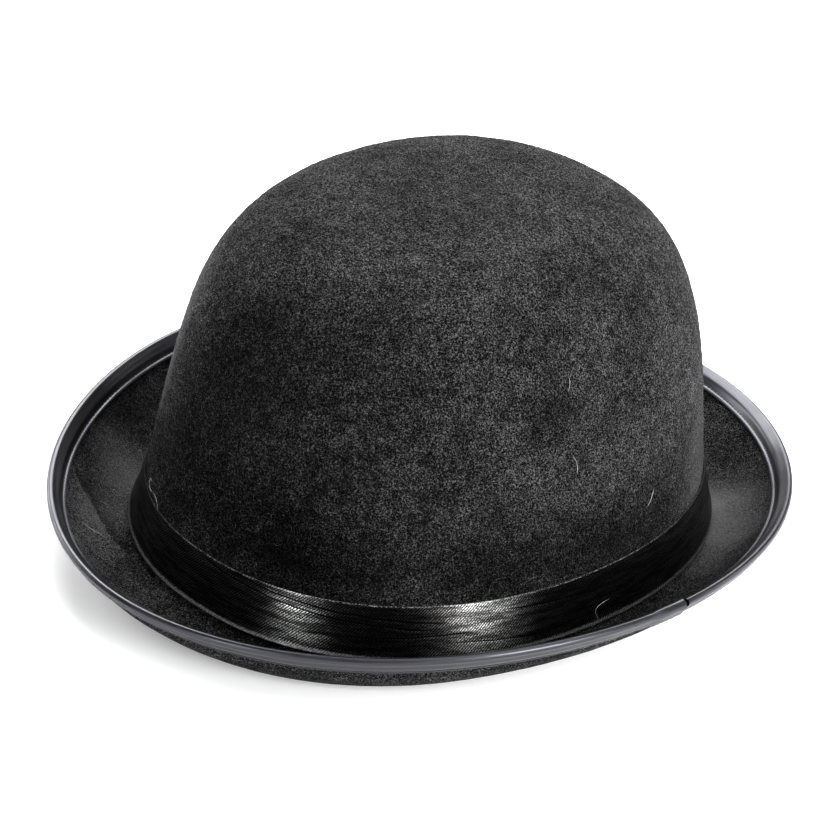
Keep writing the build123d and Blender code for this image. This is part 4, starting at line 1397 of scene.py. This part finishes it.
def head_tape_stitches():
    z, pitch = SWEAT_Z0 + 2.2, 3.4
    ang = np.radians(np.linspace(96.5, 438.0, 4000))
    along = plan_length(ang, wall_rad(ang, z) - SWEAT_SEAT - SWEAT_T)
    where = np.interp(np.arange(0.5, along[-1] / pitch - 0.5) * pitch, along, ang)

    def point_at(ang, depth=FELT_T + 1.4):
        return to_xyz(ang, wall_rad(ang, z) - depth, z)

    direction = tangent(point_at, where)
    inward = -stacked(np.cos(where), np.sin(where), 0)
    inward = unit(inward - direction * (inward * direction).sum(-1)[:, None])
    stitches("head_tape_stitches", "sweatband_thread",
             point_at(where, SWEAT_SEAT + SWEAT_T + 0.30), direction, inward, pitch * 0.72,
             size=0.22, sag=0.2)


def label_piece():
    """small blank label bowed out over the head tape's lap"""
    stations = 60
    ang = np.radians(np.linspace(83.9, 95.6, stations))[:, None]
    z = np.linspace(11.0, 23.0, 26)[None, :]
    x = np.linspace(-1, 1, stations)[:, None]
    bow = 0.35 * (1 - x ** 4) * (1 - ((z - 17) / 6.5) ** 2)
    rad = wall_rad(ang, z) - (FELT_T + 0.40 + 2 * SWEAT_T + 0.12 + 0.62) - bow
    strip_solid(to_xyz(ang, rad, z), to_xyz(ang, rad - 0.28, z), "blank_label", LABEL,
                np.linspace(0, 21.5, stations), z[0], "size_label")


head_tape_piece()
head_tape_stitches()
label_piece()

# CAD pieces that keep their shape and only get a finish
for node, mat in (("brim_wire", WIRE), ("brim_wire_sleeve", SLEEVE), ("bow_tacks", THREAD)):
    slots = frame["nodes"][node].data.materials
    slots.clear()
    slots.append(mat)


# --------------------------------------------------------------- stage
def floor_piece():
    mesh = bpy.data.meshes.new("studio_floor")
    half = 3.0
    mesh.from_pydata([(-half, -half, 0), (half, -half, 0), (half, half, 0),
                      (-half, half, 0)], [], [(0, 1, 2, 3)])
    ob = bpy.data.objects.new("studio_floor", mesh)
    bpy.context.scene.collection.objects.link(ob)
    mat = Nodes("pale_floor")
    mottle = mat.noise(mat.coords(scale=10.0), scale=1.0)
    # far from the hat the floor glows like a lit backdrop, to the camera only; near the hat a
    # weaker painted glow, also to the camera only, lightens the hat's shadow
    far = mat.ramp(mat.vector("LENGTH", mat.place()), span=(0.75, 1.7))
    seen = mat.node("ShaderNodeLightPath").outputs["Is Camera Ray"]
    mat.set(Base_Color=mat.mix(mottle, (0.86, 0.86, 0.87), (0.90, 0.90, 0.90)),
            Roughness=0.9, Specular_IOR_Level=0.1, Emission_Color=(0.95, 0.95, 0.95),
            Emission_Strength=far.max(0.16) * seen)
    mesh.materials.append(mat.mat)


floor_piece()

scene = bpy.context.scene
scene.view_settings.view_transform = "Standard"
scene.view_settings.look = "None"
scene.view_settings.exposure = 0.0
scene.view_settings.gamma = 0.8      # studio contrast: deeper blacks

# world brightness from straight down (0) to straight up (1): white round the horizon,
# dim ceiling
SKY_STOPS = ((0.0, 0.95), (0.54, 0.95), (0.585, 0.35), (0.66, 0.14), (1.0, 0.20))
SKY_SEEN = 1.15                      # flat white that the camera sees instead


def studio_world():
    world = bpy.data.worlds.new("studio")
    scene.world = world
    world.use_nodes = True
    nodes, link = world.node_tree.nodes, world.node_tree.links.new
    background = nodes["Background"]
    place = nodes.new("ShaderNodeTexCoord")
    split = nodes.new("ShaderNodeSeparateXYZ")
    link(place.outputs["Generated"], split.inputs[0])
    sky = nodes.new("ShaderNodeValToRGB")
    elements = sky.color_ramp.elements
    while len(elements) < len(SKY_STOPS):
        elements.new(0.5)
    for element, (position, value) in zip(elements, SKY_STOPS):
        element.position = position
        element.color = (value, value, value, 1)
    height = nodes.new("ShaderNodeMapRange")
    height.inputs["From Min"].default_value = -1.0
    height.inputs["From Max"].default_value = 1.0
    link(split.outputs[2], height.inputs[0])
    link(height.outputs[0], sky.inputs[0])
    seen = nodes.new("ShaderNodeLightPath")
    choice = nodes.new("ShaderNodeMix")
    choice.data_type = "RGBA"
    choice.inputs[7].default_value = (SKY_SEEN, SKY_SEEN, SKY_SEEN, 1)
    link(seen.outputs["Is Camera Ray"], choice.inputs[0])
    link(sky.outputs[0], choice.inputs[6])
    link(choice.outputs[2], background.inputs[0])
    background.inputs[1].default_value = 1.0


studio_world()

# azimuths are in degrees from -Y towards +X
CAM_AZ, CAM_EL, CAM_DISTANCE = 223.609, 28.078, 1.0
CAM_ROLL, CAM_LENS, CAM_SENSOR = 6.161, 123.3, 36.0      # degrees, mm, mm
# the view axis passes beside the target, as slopes
CAM_AIM_LEFT, CAM_AIM_DOWN = 0.0074007647, 0.0230229406
CAM_TARGET = Vector((0, 0, (60.0 + REST) * MM))
LAMP_AIM = Vector((0, 0, 0.05))


def direction_to(azimuth, elevation):
    """unit vector from the hat"""
    azimuth, elevation = math.radians(azimuth), math.radians(elevation)
    return Vector((math.sin(azimuth) * math.cos(elevation),
                   -math.cos(azimuth) * math.cos(elevation), math.sin(elevation)))


def receivers(name, wanted):
    """a collection of the meshes that some lamps are limited to"""
    group = bpy.data.collections.new(name)
    for ob in scene.objects:
        if ob.type == "MESH" and wanted(ob.name):
            group.objects.link(ob)
    return group


SATIN_LIT = receivers("satin_lit", lambda name: name == "satin_band")
REST_LIT = receivers("rest_lit", lambda name: name not in ("satin_band", "edge_tape"))
TAPE_LIT = receivers("tape_lit", lambda name: name == "edge_tape")
NOT_SATIN = receivers("not_satin", lambda name: name != "satin_band")

# name, azimuth from the camera's, elevation, distance in m, width and height in m,
# power in W, what it lights (None for everything)
LAMPS = (
    ("right_soft", 86, 33, 1.5, 1.1, 1.1, 25, REST_LIT),
    ("top_rear", 188, 46, 1.5, 1.3, 1.2, 46, NOT_SATIN),
    ("right_high", 60, 68, 1.5, 1.1, 1.1, 13, NOT_SATIN),
    ("left_back", -112, 28, 1.5, 1.2, 1.0, 13, REST_LIT),
    ("front_strip", 44, 20, 1.3, 0.40, 0.70, 24, None),
    ("left_strip", -32, 20, 1.3, 0.28, 0.64, 8, None),
    # two more strips for the satin band alone
    ("satin_front", 43, 23, 1.3, 0.30, 0.74, 21, SATIN_LIT),
    ("satin_left", -34, 23, 1.3, 0.24, 0.70, 18, SATIN_LIT),
    # low kickers behind, for the glossy edge tape alone
    ("tape_left", -124, 15, 1.5, 0.8, 0.5, 10, TAPE_LIT),
    ("tape_right", 114, 15, 1.5, 0.7, 0.5, 5, TAPE_LIT))

for name, azimuth, elevation, distance, width, height, power, group in LAMPS:
    light = bpy.data.lights.new(name, "AREA")
    light.shape = "RECTANGLE"
    light.size, light.size_y = width, height
    light.energy = power
    lamp = bpy.data.objects.new(name, light)
    scene.collection.objects.link(lamp)
    lamp.location = LAMP_AIM + direction_to(CAM_AZ + azimuth, elevation) * distance
    lamp.rotation_euler = (LAMP_AIM - lamp.location).to_track_quat("-Z", "Y").to_euler()
    if group:
        lamp.light_linking.receiver_collection = group


def studio_camera():
    data = bpy.data.cameras.new("camera")
    camera = bpy.data.objects.new("camera", data)
    scene.collection.objects.link(camera)
    data.sensor_width = CAM_SENSOR
    data.lens = CAM_LENS
    data.clip_start, data.clip_end = 0.05, 50
    back = direction_to(CAM_AZ, CAM_EL)
    level = Vector((0, 0, 1)).cross(back).normalized()
    upright = back.cross(level).normalized()
    roll = math.radians(CAM_ROLL)
    right = level * math.cos(roll) + upright * math.sin(roll)
    up = -level * math.sin(roll) + upright * math.cos(roll)
    view = (-back - right * CAM_AIM_LEFT - up * CAM_AIM_DOWN).normalized()
    x_axis = (right - view * right.dot(view)).normalized()
    y_axis = (-view).cross(x_axis).normalized()
    camera.matrix_world = Matrix((x_axis, y_axis, -view)).transposed().to_4x4()
    camera.location = CAM_TARGET + back * CAM_DISTANCE
    scene.camera = camera


studio_camera()
